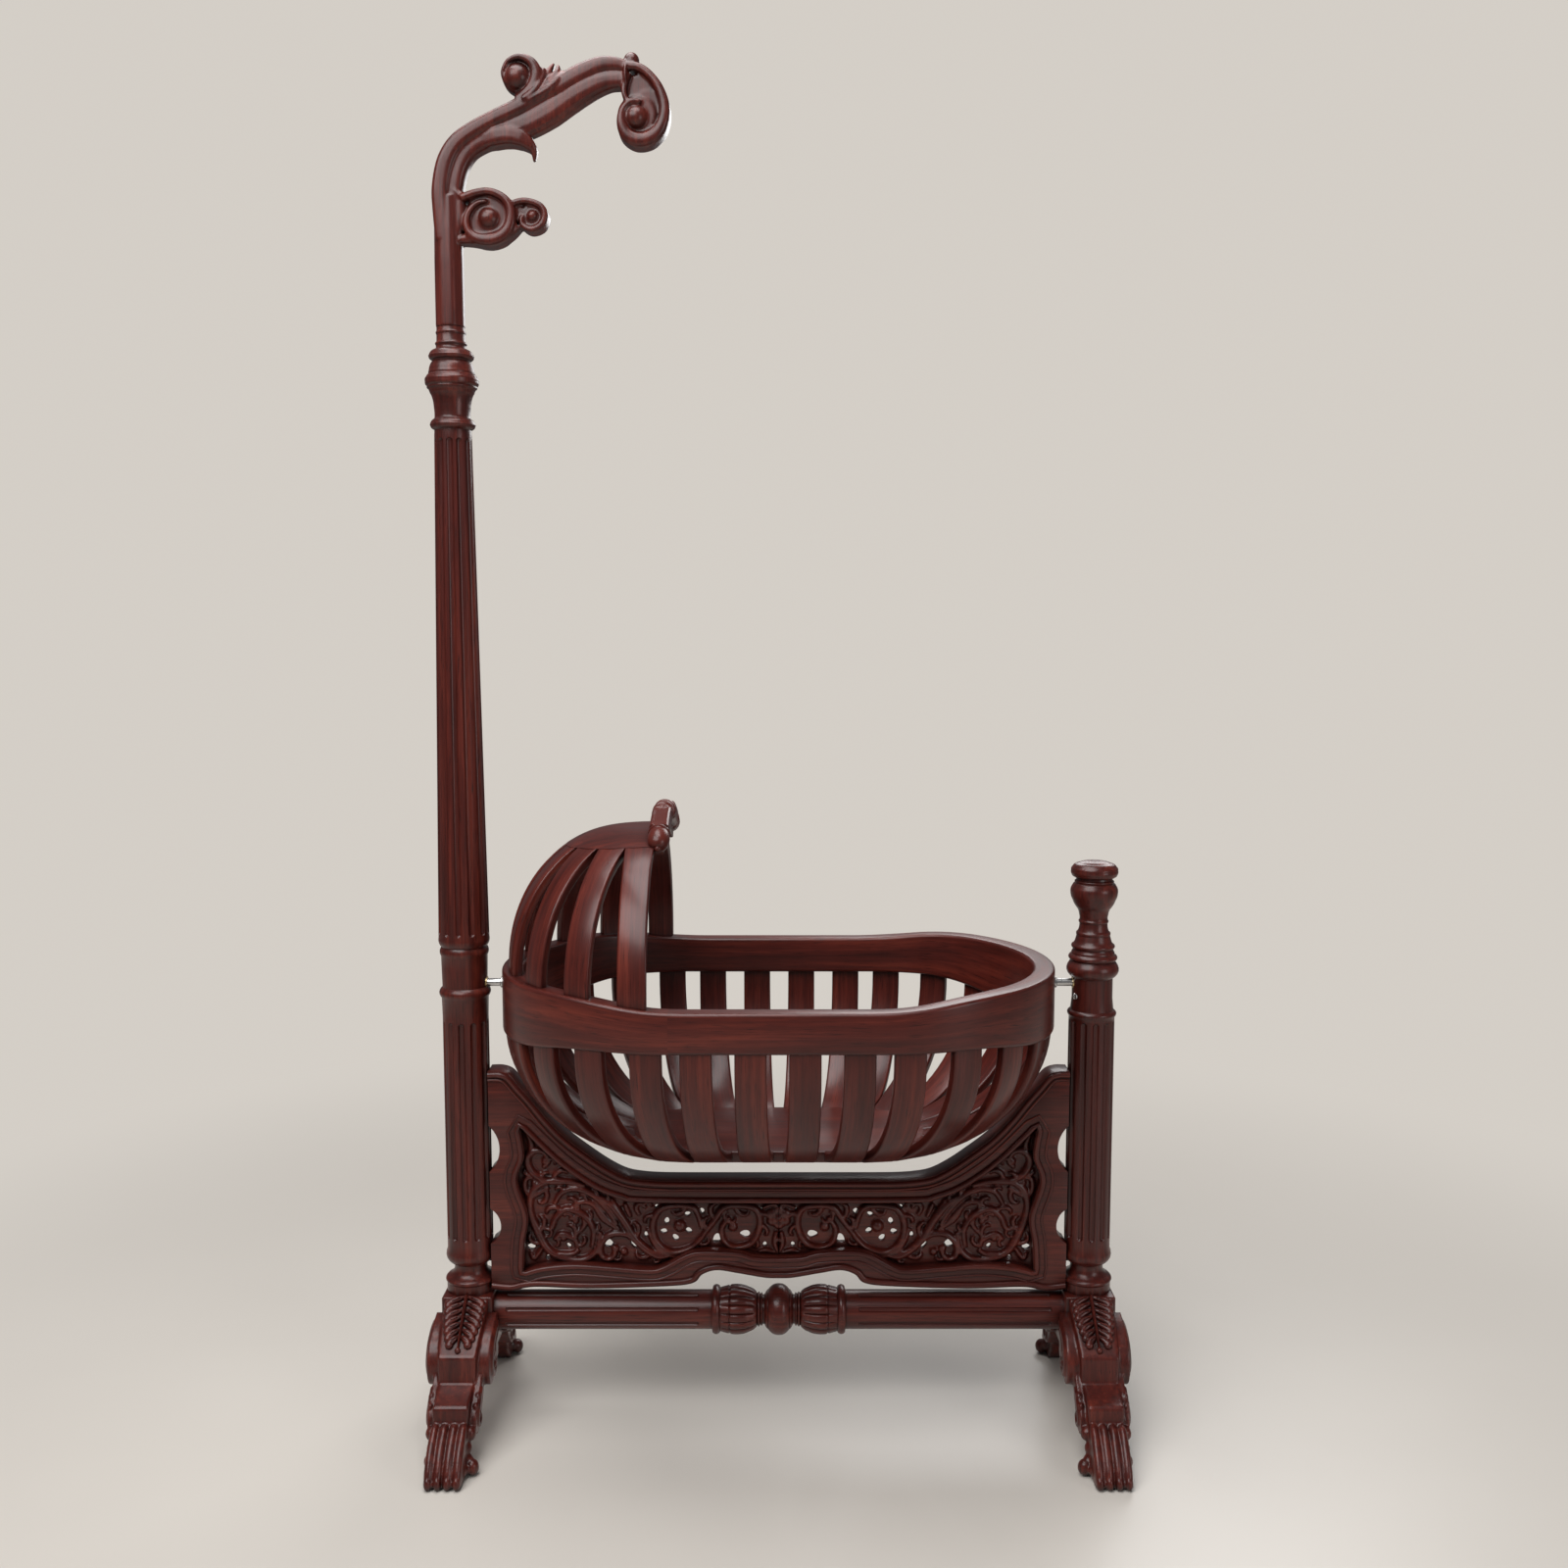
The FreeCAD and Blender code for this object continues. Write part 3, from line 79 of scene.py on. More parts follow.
class Paint:
    # the nodes of a material or of the world, and the one way they are made
    def __init__(self, owner):
        owner.use_nodes = True
        self.owner = owner
        self.tree = owner.node_tree
        self.tree.nodes.clear()

    def node(self, kind, settings=None, inputs=None, out=0):
        made = self.tree.nodes.new(kind)
        for key, value in (settings or {}).items():
            if key == "stops":
                self.setStops(made.color_ramp, value)
            else:
                setattr(made, key, value)
        pairs = inputs.items() if isinstance(inputs, dict) else enumerate(inputs or [])
        for key, value in pairs:
            if isinstance(value, Value):
                self.tree.links.new(value.socket, made.inputs[key])
            else:
                made.inputs[key].default_value = value
        return Value(self, made.outputs[out])

    def setStops(self, ramp, stops):
        for place, _ in stops[2:]:
            ramp.elements.new(place)
        for element, (place, colour) in zip(ramp.elements, sorted(stops)):
            element.position = place
            element.color = (*colour, 1)

    def mix(self, factor, low, high):
        low, high = (part if isinstance(part, Value) else (*part, 1.0) for part in (low, high))
        return self.node("ShaderNodeMix", {"data_type": "RGBA"}, {"Factor": factor, 6: low, 7: high}, 2)

    def ranged(self, value, start, end, low=0.0, high=1.0, **settings):
        return self.node("ShaderNodeMapRange", settings, {
            "Value": value, "From Min": start, "From Max": end, "To Min": low, "To Max": high})

    def bump(self, height, strength, distance):
        return self.node("ShaderNodeBump", None, {
            "Strength": strength, "Distance": distance, "Height": height})

    def finish(self, shader, kind="ShaderNodeOutputMaterial"):
        out = self.tree.nodes.new(kind)
        self.tree.links.new(shader.socket, out.inputs["Surface"])
        return self.owner


lacquer = {
    "deep": (0.024, 0.0044, 0.0032), "body": (0.070, 0.0098, 0.0064), "warm": (0.160, 0.0260, 0.0145),
    # how close the figure is across and along the grain
    "streaks": (150.0, 5.0), "clouds": (14.0, 1.6), "pores": (900.0, 28.0),
    "roughness": 0.37, "coat": 0.46, "coatRoughness": 0.25, "specular": 0.16,
    "bump": 0.12, "bumpDepth": 0.0006,
    # where the pores darken the wood, and where painted shade darkens the hollows
    "poreRange": (0.30, 0.42), "paintedShadeReach": 0.012, "paintedShadeRange": (0.35, 0.95, 0.25), "paintedShadeTone": 0.35,
}


def lacqueredWood(name, grainAxis):
    # red-brown hardwood with fine streaks along its grain, under clear gloss
    paint = Paint(bpy.data.materials.new(name))
    if grainAxis == "UV":
        spot = paint.node("ShaderNodeUVMap", {"uv_map": "grain"})
    else:
        spot = paint.node("ShaderNodeTexCoord", out=3)
    alongAxis = "Y" if grainAxis == "UV" else grainAxis

    def figure(kind, detail, **more):
        across, along = lacquer[kind]
        scale = [along if axis == alongAxis else across for axis in "XYZ"]
        stretched = paint.node("ShaderNodeMapping", None, {"Vector": spot, "Scale": scale})
        return paint.node("ShaderNodeTexNoise", None, {
            "Vector": stretched, "Scale": 1.0, "Detail": detail, **more})

    streaks = figure("streaks", 6.0, Roughness=0.6, Distortion=0.4)
    clouds = figure("clouds", 3.0, Distortion=1.2)
    pores = figure("pores", 2.0)
    stops = [(0.30, lacquer["deep"]), (0.72, lacquer["warm"]), (0.50, lacquer["body"])]
    colour = paint.node("ShaderNodeValToRGB", {"stops": stops}, {"Fac": streaks * 0.55 + clouds * 0.45})
    colour = paint.mix(paint.ranged(pores, *lacquer["poreRange"]), lacquer["deep"], colour)
    # painted shade: ambient occlusion darkens the colour towards a deep tone in the hollows of the carving
    # and between parts
    hollow = paint.node("ShaderNodeAmbientOcclusion", {"samples": 8}, {"Distance": lacquer["paintedShadeReach"]}, 1)
    shade = paint.ranged(hollow, *lacquer["paintedShadeRange"])
    colour = paint.mix(shade, [part * lacquer["paintedShadeTone"] for part in lacquer["deep"]], colour)
    return paint.finish(paint.node("ShaderNodeBsdfPrincipled", None, {
        "Base Color": colour, "Roughness": streaks * 0.10 + lacquer["roughness"],
        "Normal": paint.bump(streaks + pores * 0.3, lacquer["bump"], lacquer["bumpDepth"]),
        "Coat Weight": lacquer["coat"], "Coat Roughness": lacquer["coatRoughness"],
        "Specular IOR Level": lacquer["specular"]}))


def turnedMetal(name, tint, roughness):
    # bright metal with fine lathe rings
    paint = Paint(bpy.data.materials.new(name))
    spot = paint.node("ShaderNodeTexCoord", out=3)
    rings = paint.node("ShaderNodeMapping", None, {"Vector": spot, "Scale": (2600.0, 40.0, 40.0)})
    marks = paint.node("ShaderNodeTexNoise", None, {"Vector": rings, "Scale": 1.0, "Detail": 2.0})
    return paint.finish(paint.node("ShaderNodeBsdfPrincipled", None, {
        "Base Color": paint.mix(marks, [part * 0.7 for part in tint], tint), "Metallic": 1.0,
        "Roughness": marks * 0.15 + roughness, "Normal": paint.bump(marks, 0.1, 0.0002)}))


woodUv = lacqueredWood("mahoganyAlongPiece", "UV")
woodX = lacqueredWood("mahoganyAlongX", "X")
woodZ = lacqueredWood("mahoganyAlongZ", "Z")
pinSteel = turnedMetal("pinSteel", (0.62, 0.61, 0.60), 0.22)
bushBrass = turnedMetal("bushBrass", (0.70, 0.52, 0.26), 0.30)
print("materials made")


def toMesh(bm, name):
    mesh = bpy.data.meshes.new(name)
    bm.to_mesh(mesh)
    bm.free()
    return mesh


def addTo(target, other):
    mesh = toMesh(other, "joined")
    target.from_mesh(mesh)
    bpy.data.meshes.remove(mesh)


def addObject(name, data):
    made = bpy.data.objects.new(name, data)
    scene.collection.objects.link(made)
    return made


def finishPiece(name, bm, material, body, node=None, sharp=38):
    # a piece that names no node replaces the one with its own name: tallPost stands for tall_post
    bmesh.ops.recalc_face_normals(bm, faces=bm.faces)
    for face in bm.faces:
        face.smooth = True
    for edge in bm.edges:
        edge.smooth = edge.calc_face_angle(0.0) < math.radians(sharp)
    piece = addObject(name, toMesh(bm, name))
    piece.data.materials.append(material)
    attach(piece, body)
    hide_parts(node or re.sub("([A-Z]|[0-9]+)", r"_\1", name).lower())


def carved(bm, voxel, passes):
    # joins what overlaps into one skin and softens it, as a carver's scraper does
    mesh = toMesh(bm, "rough")
    rough = addObject("rough", mesh)
    joining = rough.modifiers.new("joining", "REMESH")
    joining.mode = "VOXEL"
    joining.voxel_size = voxel
    graph = bpy.context.evaluated_depsgraph_get()
    skin = bpy.data.meshes.new_from_object(rough.evaluated_get(graph))
    bpy.data.objects.remove(rough)
    bpy.data.meshes.remove(mesh)
    joined = bmesh.new()
    joined.from_mesh(skin)
    bpy.data.meshes.remove(skin)
    for _ in range(passes):
        bmesh.ops.smooth_vert(joined, verts=joined.verts, factor=0.5, use_axis_x=True, use_axis_y=True,
                              use_axis_z=True)
    return joined


def ball(place, radii, columns=28, rows=16):
    bm = bmesh.new()
    bmesh.ops.create_uvsphere(bm, u_segments=columns, v_segments=rows, radius=1.0)
    bmesh.ops.scale(bm, vec=radii, verts=bm.verts)
    bmesh.ops.translate(bm, vec=place, verts=bm.verts)
    return bm


def sweep(entries, count, pointAt, closed=False):
    # pushes a closed section along a line: pointAt(step, entry) places each of its corners
    bm = bmesh.new()
    corner = bm.verts.layers.int.new("corner")
    row = bm.verts.layers.int.new("row")
    ring = [bm.verts.new(pointAt(0, entry)) for entry in entries]
    for index, vert in enumerate(ring):
        vert[corner] = index
    edges = [bm.edges.new(pair) for pair in zip(ring, ring[1:] + ring[:1])]
    firstEdges = list(edges)
    for step in range(1, count):
        made = bmesh.ops.extrude_edge_only(bm, edges=edges)["geom"]
        fresh = set(item for item in made if isinstance(item, bmesh.types.BMVert))
        edges = [item for item in made
                 if isinstance(item, bmesh.types.BMEdge) and fresh.issuperset(item.verts)]
        for vert in fresh:
            vert.co = pointAt(step, entries[vert[corner]])
            vert[row] = step
    if closed:
        bmesh.ops.bridge_loops(bm, edges=firstEdges + edges)
    else:
        bmesh.ops.edgeloop_fill(bm, edges=firstEdges)
        bmesh.ops.edgeloop_fill(bm, edges=edges)
    laySweepGrain(bm, len(ring), count)
    return bm


def laySweepGrain(bm, size, count):
    # grain map in metres: across the section, and along the line
    corner = bm.verts.layers.int["corner"]
    row = bm.verts.layers.int["row"]
    places = {(vert[row], vert[corner]): vert.co for vert in bm.verts}
    first = places[0, 0]
    around = [first.x * 7.3 + first.y * 5.1 + first.z * 3.7]
    for index in range(size):
        around.append(around[-1] + (places[0, (index + 1) % size] - places[0, index]).length)
    along = [first.x * 2.9 - first.y * 4.3]
    for step in range(count):
        along.append(along[-1] + (places[(step + 1) % count, 0] - places[step, 0]).length)
    grain = bm.loops.layers.uv.new("grain")
    for face in bm.faces:
        corners = [loop.vert[corner] for loop in face.loops]
        rows = [loop.vert[row] for loop in face.loops]
        wraps = len(corners) == 4 and min(corners) == 0 and max(corners) == size - 1 and size > 2
        closes = min(rows) == 0 and max(rows) == count - 1 and count > 2
        for loop, index, step in zip(face.loops, corners, rows):
            index = size if wraps and index == 0 else index
            step = count if closes and step == 0 else step
            loop[grain].uv = (around[index], along[step])
    for name in ("corner", "row"):
        bm.verts.layers.int.remove(bm.verts.layers.int[name])


def barSection(rounds=3):
    # corners of a bar's section: side, face, and the turn of its rounded corner
    turns = [(side, face, math.radians(start + 90 * step / rounds))
             for side, face, start in ((1, 1, 0), (-1, 1, 90), (-1, -1, 180), (1, -1, 270))
             for step in range(rounds + 1)]
    return [(side, face, math.cos(turn), math.sin(turn)) for side, face, turn in turns]


def barCorner(entry, width, thick, corner):
    side, face, turnAcross, turnUp = entry
    return side * (width / 2 - corner) + corner * turnAcross, face * (thick / 2 - corner) + corner * turnUp


def smoothLine(points, perSpan=6, closed=False):
    # rounds a line of listed points, flat or not, into a smooth one that passes through them
    places = [Vector((*point, 0)[:3]) for point in points]
    last = len(places)
    line = []
    for index in range(last if closed else last - 1):
        before = places[(index - 1) % last] if closed or index else places[0]
        start = places[index]
        end = places[(index + 1) % last]
        after = places[(index + 2) % last] if closed or index + 2 < last else places[-1]
        for step in range(perSpan):
            t = step / perSpan
            line.append(0.5 * ((2 * start) + (end - before) * t
                               + (2 * before - 5 * start + 4 * end - after) * t ** 2
                               + (3 * start - before - 3 * end + after) * t ** 3))
    if not closed:
        line.append(places[-1])
    return line


def inMetres(line):
    return [Vector((across, up, 0)) * mm for across, up in line]


def wayAt(line, step, closed=False):
    # the line's direction at one of its points
    before = line[step - 1] if step or closed else line[0]
    after = line[(step + 1) % len(line)] if step + 1 < len(line) or closed else line[-1]
    return (after - before).normalized()


def offsetLine(line, distance, closed):
    # the same line, moved sideways to its right
    ways = [wayAt(line, step, closed) for step in range(len(line))]
    return [spot + Vector((way.y, -way.x, 0)) * distance for spot, way in zip(line, ways)]


def between(values, share):
    # reads a row of evenly spaced values at a share of its length
    place = share * (len(values) - 1)
    low = min(int(place), len(values) - 2)
    return values[low] + (values[low + 1] - values[low]) * (place - low)


def spinProfile(points, steps, unit=1.0):
    # turns a profile of (radius, height) about the upright axis, as a lathe does
    bm = bmesh.new()
    verts = [bm.verts.new((radius * unit, 0, height * unit)) for radius, height in points]
    edges = [bm.edges.new(pair) for pair in zip(verts, verts[1:])]
    bmesh.ops.spin(bm, geom=verts + edges, cent=(0, 0, 0), axis=(0, 0, 1), angle=math.tau,
                   steps=steps, use_merge=True)
    bmesh.ops.remove_doubles(bm, verts=bm.verts, dist=1e-6)
    return bm


def bulgedRows(rows, foot, height, radius, steps=6):
    # rows of height share, radius share and outward bulge share, as points with round stretches
    points = [(rows[0][1] * radius, foot + rows[0][0] * height)]
    for before, after in zip(rows, rows[1:]):
        start = Vector((before[1] * radius, foot + before[0] * height))
        chord = Vector((after[1] * radius, foot + after[0] * height)) - start
        side = Vector((chord.y, -chord.x)).normalized() * after[2] * radius
        count = steps if after[2] else 1
        for step in range(1, count + 1):
            t = step / count
            points.append(tuple(start + chord * t + side * 4 * t * (1 - t)))
    return points


def stadiumLine(radius, straightHalf, endSteps, sideSteps):
    # stations round a stadium as place and outward way, starting at the front left
    stations = []
    for side in (1, -1):
        for step in range(sideSteps):
            across = straightHalf * (2 * step / sideSteps - 1) * side
            stations.append((Vector((across, -radius * side, 0)), Vector((0, -side, 0))))
        for step in range(endSteps):
            turn = math.radians(-90 + 180 * step / endSteps) + (0 if side > 0 else math.pi)
            way = Vector((math.cos(turn), math.sin(turn), 0))
            stations.append((Vector((side * straightHalf, 0, 0)) + way * radius, way))
    return stations


def plate(outline, holes, depth, place):
    # a flat board with holes: outlines give X and Z, place is the Y of its front face
    bm = bmesh.new()
    edges = []
    for loop in [outline] + holes:
        verts = [bm.verts.new((spot.x, place, spot.y)) for spot in loop]
        edges += [bm.edges.new((verts[index - 1], verts[index])) for index in range(len(verts))]
    bmesh.ops.triangle_fill(bm, use_beauty=True, use_dissolve=False, edges=edges)
    thicken(bm, (0, depth, 0))
    bmesh.ops.recalc_face_normals(bm, faces=bm.faces)
    return bm


def thicken(bm, depth):
    made = bmesh.ops.extrude_face_region(bm, geom=list(bm.faces))["geom"]
    verts = [item for item in made if isinstance(item, bmesh.types.BMVert)]
    bmesh.ops.translate(bm, vec=depth, verts=verts)


def softenRims(bm, offset, segments, least=60):
    # rounds the edges that turn by more than the least angle
    edges = [edge for edge in bm.edges if edge.calc_face_angle(0.0) > math.radians(least)]
    bmesh.ops.bevel(bm, geom=edges, offset=offset, offset_type="OFFSET", affect="EDGES",
                    segments=segments, profile=0.5, clamp_overlap=True, material=-1)


rootDepth = 0.0015  # how far a carved ridge reaches into its ground


def ridge(points, widths, rise, place, rounds=6, perSpan=6, closed=False):
    # a carved ridge along a line of (across, up) points: place(across, up, rise) puts it on its face
    line = smoothLine(points, perSpan, closed)
    entries = [math.pi * step / rounds for step in range(rounds + 1)]

    def pointAt(step, entry):
        way = wayAt(line, step, closed)
        width = between(widths, step / (len(line) - 1))
        spot = line[step] + Vector((way.y, -way.x, 0)) * width / 2 * math.cos(entry)
        tall = rise * min(1.0, width / max(widths) * 1.25) * math.sin(entry)
        return place(spot.x, spot.y, tall - rootDepth if entry in (entries[0], entries[-1]) else tall)

    return sweep(entries, len(line), pointAt, closed)


def dome(across, up, radius, rise, place):
    # a round boss on a carved face
    bm = ball((across, up, 0), (radius, radius, rise), 24, 12)
    for vert in bm.verts:
        vert.co = place(*vert.co)
    return bm


print("helpers ready")


# Turned and fluted posts: each row is a share of the height, a share of the radius, and its bulge
turning = {
    "foot": [(0, .95, 0), (.18, .95, 0), (.27, .95, .05), (.48, .64, -.10), (.53, .66, 0), (.84, .90, .17),
             (1, .90, 0)],
    "tallBand": [(0, .89, 0), (.245, .91, 0), (.38, .87, .11), (.63, .89, 0), (.77, .90, 0),
                 (.885, .88, .06), (.905, .93, 0), (1, .98, .03)],
    "tallHead": [(0, .70, 0), (.05, .69, 0), (.058, .72, 0), (.095, .845, .03), (.105, .845, .01),
                 (.155, .70, .03), (.165, .675, 0), (.26, .69, -.01), (.346, .74, -.01), (.397, .83, -.01),
                 (.438, .905, -.01), (.445, .94, .012), (.458, .93, 0), (.50, 1.0, .03), (.545, .95, .03),
                 (.565, .89, .01), (.572, .865, 0), (.60, .85, .01), (.689, .717, .03), (.70, .74, 0),
                 (.732, .845, .03), (.742, .84, .01), (.80, .60, .05), (.812, .565, 0), (.835, .565, 0),
                 (.84, .58, 0), (.862, .57, .02), (.872, .54, 0), (.94, .535, 0), (.946, .555, .01),
                 (.962, .55, .01), (.97, .53, 0), (1, .53, 0)],
    "shortBand": [(0, .89, 0), (.11, .84, .09), (.30, .79, 0), (.62, .79, 0), (.87, .90, .17),
                  (.89, .86, 0), (1, .84, .10)],
    "shortHead": [(0, .84, 0), (.03, .81, .01), (.045, .78, 0), (.06, .78, 0), (.07, .83, .012),
                  (.10, .82, .02), (.115, .75, 0), (.155, .69, -.006), (.20, .645, 0), (.212, .66, .01),
                  (.235, .645, .012), (.245, .60, 0), (.29, .55, -.004), (.335, .54, 0), (.343, .57, .01),
                  (.362, .565, .012), (.37, .545, 0), (.42, .56, -.01), (.485, .63, -.012), (.58, .83, .02),
                  (.663, .915, .02), (.74, .84, .03), (.765, .77, .01), (.77, .745, 0), (.79, .75, .015),
                  (.80, .70, 0), (.822, .69, 0), (.832, .80, .02), (.855, .88, .02), (.90, .905, .02),
                  (.94, .85, .025), (.975, .66, .03), (1, .22, .03)],
}

fluting = {
    "count": 12, "columns": 16, "innerColumns": 5, "radius": 0.005, "depth": 0.0032, "margin": 0.009,
    "ringGap": 0.045, "endShares": (1.0, 0.97, 0.88, 0.74, 0.54, 0.28),
}

fluteHollow = fluting["radius"] - fluting["depth"]
fluteChord = math.sqrt(fluting["radius"] ** 2 - fluteHollow ** 2)


def fluteRings(foot, footRadius, top, topRadius):
    # profile of a fluted stretch, with close rings where the flutes end
    low = foot + fluting["margin"]
    high = top - fluting["margin"]
    count = max(2, round((high - low) / fluting["ringGap"]))
    heights = [foot] + [low - fluteChord * share for share in fluting["endShares"]]
    heights += [low + (high - low) * step / count for step in range(count + 1)]
    heights += [high + fluteChord * share for share in reversed(fluting["endShares"])] + [top]
    taper = (topRadius - footRadius) / (top - foot)
    return [(footRadius + taper * (height - foot), height) for height in heights]


def crowded(column, inner, share):
    # moves a column of the mesh so that the inner ones fill the flute's share of the pitch
    if abs(column) < inner + 1e-5:
        return column * share / inner
    return math.copysign(share + (abs(column) - inner) * (0.5 - share) / (0.5 - inner), column)


def carveFlutes(bm, foot, top):
    low = foot + fluting["margin"]
    high = top - fluting["margin"]
    pitch = math.tau / fluting["count"]
    inner = fluting["innerColumns"] / fluting["columns"]
    for vert in bm.verts:
        beyond = max(low - vert.co.z, vert.co.z - high, 0)
        if beyond > fluteChord * 1.0001:
            continue
        radius = math.hypot(vert.co.x, vert.co.y)
        across = math.sqrt(max(fluteChord ** 2 - beyond ** 2, 0))
        share = max(across, fluteChord * 0.25) / (radius * pitch)
        turn = math.atan2(vert.co.y, vert.co.x) / pitch
        moved = crowded(turn - round(turn), inner, share)
        angle = (round(turn) + moved) * pitch
        hollow = max(fluting["radius"] ** 2 - (moved * pitch * radius) ** 2 - beyond ** 2, 0)
        radius -= max(math.sqrt(hollow) - fluteHollow, 0)
        vert.co.x = radius * math.cos(angle)
        vert.co.y = radius * math.sin(angle)


def makePost(name, profile, fluted, side):
    bm = spinProfile(profile, fluting["count"] * fluting["columns"])
    for foot, top in fluted:
        carveFlutes(bm, foot, top)
    block = bmesh.new()
    bmesh.ops.create_cube(block, size=1.0)
    tall = cradle["blockTop"] - cradle["blockFoot"]
    bmesh.ops.scale(block, vec=(2 * cradle["blockHalf"], 2 * cradle["blockHalf"], tall), verts=block.verts)
    bmesh.ops.translate(block, vec=(0, 0, cradle["blockFoot"] + tall / 2), verts=block.verts)
    softenRims(block, cradle["blockRim"], 3)
    addTo(bm, block)
    bmesh.ops.translate(bm, vec=(side * cradle["halfSpacing"], 0, 0), verts=bm.verts)
    finishPiece(name, bm, woodZ, "stand")


def makePosts():
    radius = cradle["postRadius"]

    def turned(name, foot, top):
        return bulgedRows(turning[name], cradle[foot], cradle[top] - cradle[foot], radius)

    def fluted(foot, top, shares):
        return fluteRings(cradle[foot], shares[0] * radius, cradle[top], shares[1] * radius)

    shaft = (cradle["shaftFoot"], cradle["bandFoot"])
    upper = (cradle["upperFoot"], cradle["upperTop"])
    low = [(0.0, cradle["blockTop"] - 0.002)] + turned("foot", "blockTop", "shaftFoot")
    low += fluted("shaftFoot", "bandFoot", cradle["shaftShares"])
    tall = low + turned("tallBand", "bandFoot", "upperFoot")
    tall += fluted("upperFoot", "upperTop", cradle["upperShares"])
    tall += turned("tallHead", "upperTop", "tallTop") + [(0.0, cradle["tallTop"])]
    makePost("tallPost", tall, (shaft, upper), -1)
    short = low + turned("shortBand", "bandFoot", "shortBandTop")
    short += turned("shortHead", "shortBandTop", "shortTop") + [(0.0, cradle["shortTop"])]
    makePost("shortPost", short, (shaft,), 1)


makePosts()
print("posts made")


# Stretcher with reeded vases either side of its middle ball
stretcherShape = {
    "radius": 0.0275, "height": 0.1525, "vase": 0.098, "reach": 0.409, "reeds": 16, "reedDepth": 0.10,
    "columns": 192, "reedFade": 0.05, "reedPower": 2.2, "reedFrom": 0.34, "reedTo": 0.85,
    "notch": 0.72, "notchHalf": 0.014, "notchDepth": 0.06, "flutes": 8,
    "fluteHalf": 0.0033, "fluteDeep": 0.0028, "fluteMargin": 0.020,
    "half": [(0, 1.30, 0), (.05, 1.285, 0), (.10, 1.20, .01), (.15, 1.04, .01), (.158, .98, 0),
             (.166, 1.0, .01), (.205, .80, .01), (.215, .74, 0), (.235, .74, 0), (.24, .80, 0),
             (.265, .80, .04), (.27, .76, 0), (.28, .84, 0), (.31, .84, .04), (.318, .80, 0), (.33, .90, 0),
             (.44, 1.13, .03), (.55, 1.245, .02), (.64, 1.267, .01), (.74, 1.22, .01), (.84, 1.13, 0),
             (.865, 1.10, 0), (.87, 1.17, 0), (.975, 1.17, .09), (.98, 1.04, 0), (.99, 1.0, 0),
             (1.0, 1.0, 0)],
}


def makeStretcher():
    shape = stretcherShape
    radius = shape["radius"]
    half = bulgedRows(shape["half"], 0.0, shape["vase"], radius)
    low = shape["vase"] + shape["fluteMargin"]
    high = shape["reach"] - shape["fluteMargin"]
    ends = [shape["fluteHalf"] * share for share in fluting["endShares"]]
    heights = [low - end for end in ends] + [low + (high - low) * step / 8 for step in range(9)]
    heights += [high + end for end in reversed(ends)] + [shape["reach"]]
    half += [(radius, height) for height in heights]
    profile = [(across, -up) for across, up in reversed(half)][:-1] + half
    bm = spinProfile([(0.0, -shape["reach"])] + profile + [(0.0, shape["reach"])], shape["columns"])
    pitch = math.tau / shape["flutes"]
    for vert in bm.verts:
        along = abs(vert.co.z)
        place = along / shape["vase"]
        angle = math.atan2(vert.co.y, vert.co.x)
        if shape["reedFrom"] < place < shape["reedTo"]:
            fade = min(1.0, (place - shape["reedFrom"]) / shape["reedFade"],
                       (shape["reedTo"] - place) / shape["reedFade"])
            turn = angle / math.tau * shape["reeds"]
            local = 2 * abs(turn - round(turn))
            sink = shape["reedDepth"] * fade * (1 - math.sqrt(max(0.0, 1 - local ** shape["reedPower"])))
            sink += shape["notchDepth"] * max(0.0, 1 - abs(place - shape["notch"]) / shape["notchHalf"])
            vert.co.x *= 1 - sink
            vert.co.y *= 1 - sink
        elif along > shape["vase"] + 0.001 and math.hypot(vert.co.x, vert.co.y) > radius / 2:
            beyond = max(low - along, along - high, 0)
            turn = angle / pitch - 0.5
            moved = crowded(turn - round(turn), 0.25, shape["fluteHalf"] / (radius * pitch))
            share = ((moved * pitch * radius) ** 2 + beyond ** 2) / shape["fluteHalf"] ** 2
            deep = radius - shape["fluteDeep"] * math.sqrt(max(0.0, 1 - share))
            angle = (round(turn) + moved + 0.5) * pitch
            vert.co.x = deep * math.cos(angle)
            vert.co.y = deep * math.sin(angle)
    for vert in bm.verts:
        vert.co = Vector((vert.co.z, vert.co.y, shape["height"] - vert.co.x))
    finishPiece("stretcher", bm, woodX, "stand")


makeStretcher()
print("stretcher made")


# Swinging basket: rim band, slats and board
basket = {
    "endCentre": 0.139, "halfWidth": 0.249, "bandThickness": 0.030, "topMiddle": 0.6535, "topEnd": 0.667,
    "footMiddle": 0.600, "footEnd": 0.580, "topCurve": (0.115, 0.300), "footCurve": (0.225, 0.388),
    "bandCorner": 0.0045, "drawIn": 0.028, "lowWidth": 0.0435, "slatWidth": 0.041, "slatThick": 0.014,
    "slatOuter": 0.245, "bend": 0.185, "bendHeight": 0.590, "boardEdge": 0.090, "boardRim": 0.098,
    "tenonTop": 0.610, "slatCorner": 0.0032, "firstAngle": 7.0,
    "boardFoot": 0.4065, "boardThick": 0.016, "boardRound": 0.0025,
}


def waved(across, middle, end, curve):
    # level, then an S-curve up or down to the end height
    share = min(1.0, max(0.0, (abs(across) - curve[0]) / (curve[1] - curve[0])))
    eased = 2 * share ** 2 if share < 0.5 else 1 - 2 * (1 - share) ** 2
    return middle + (end - middle) * eased


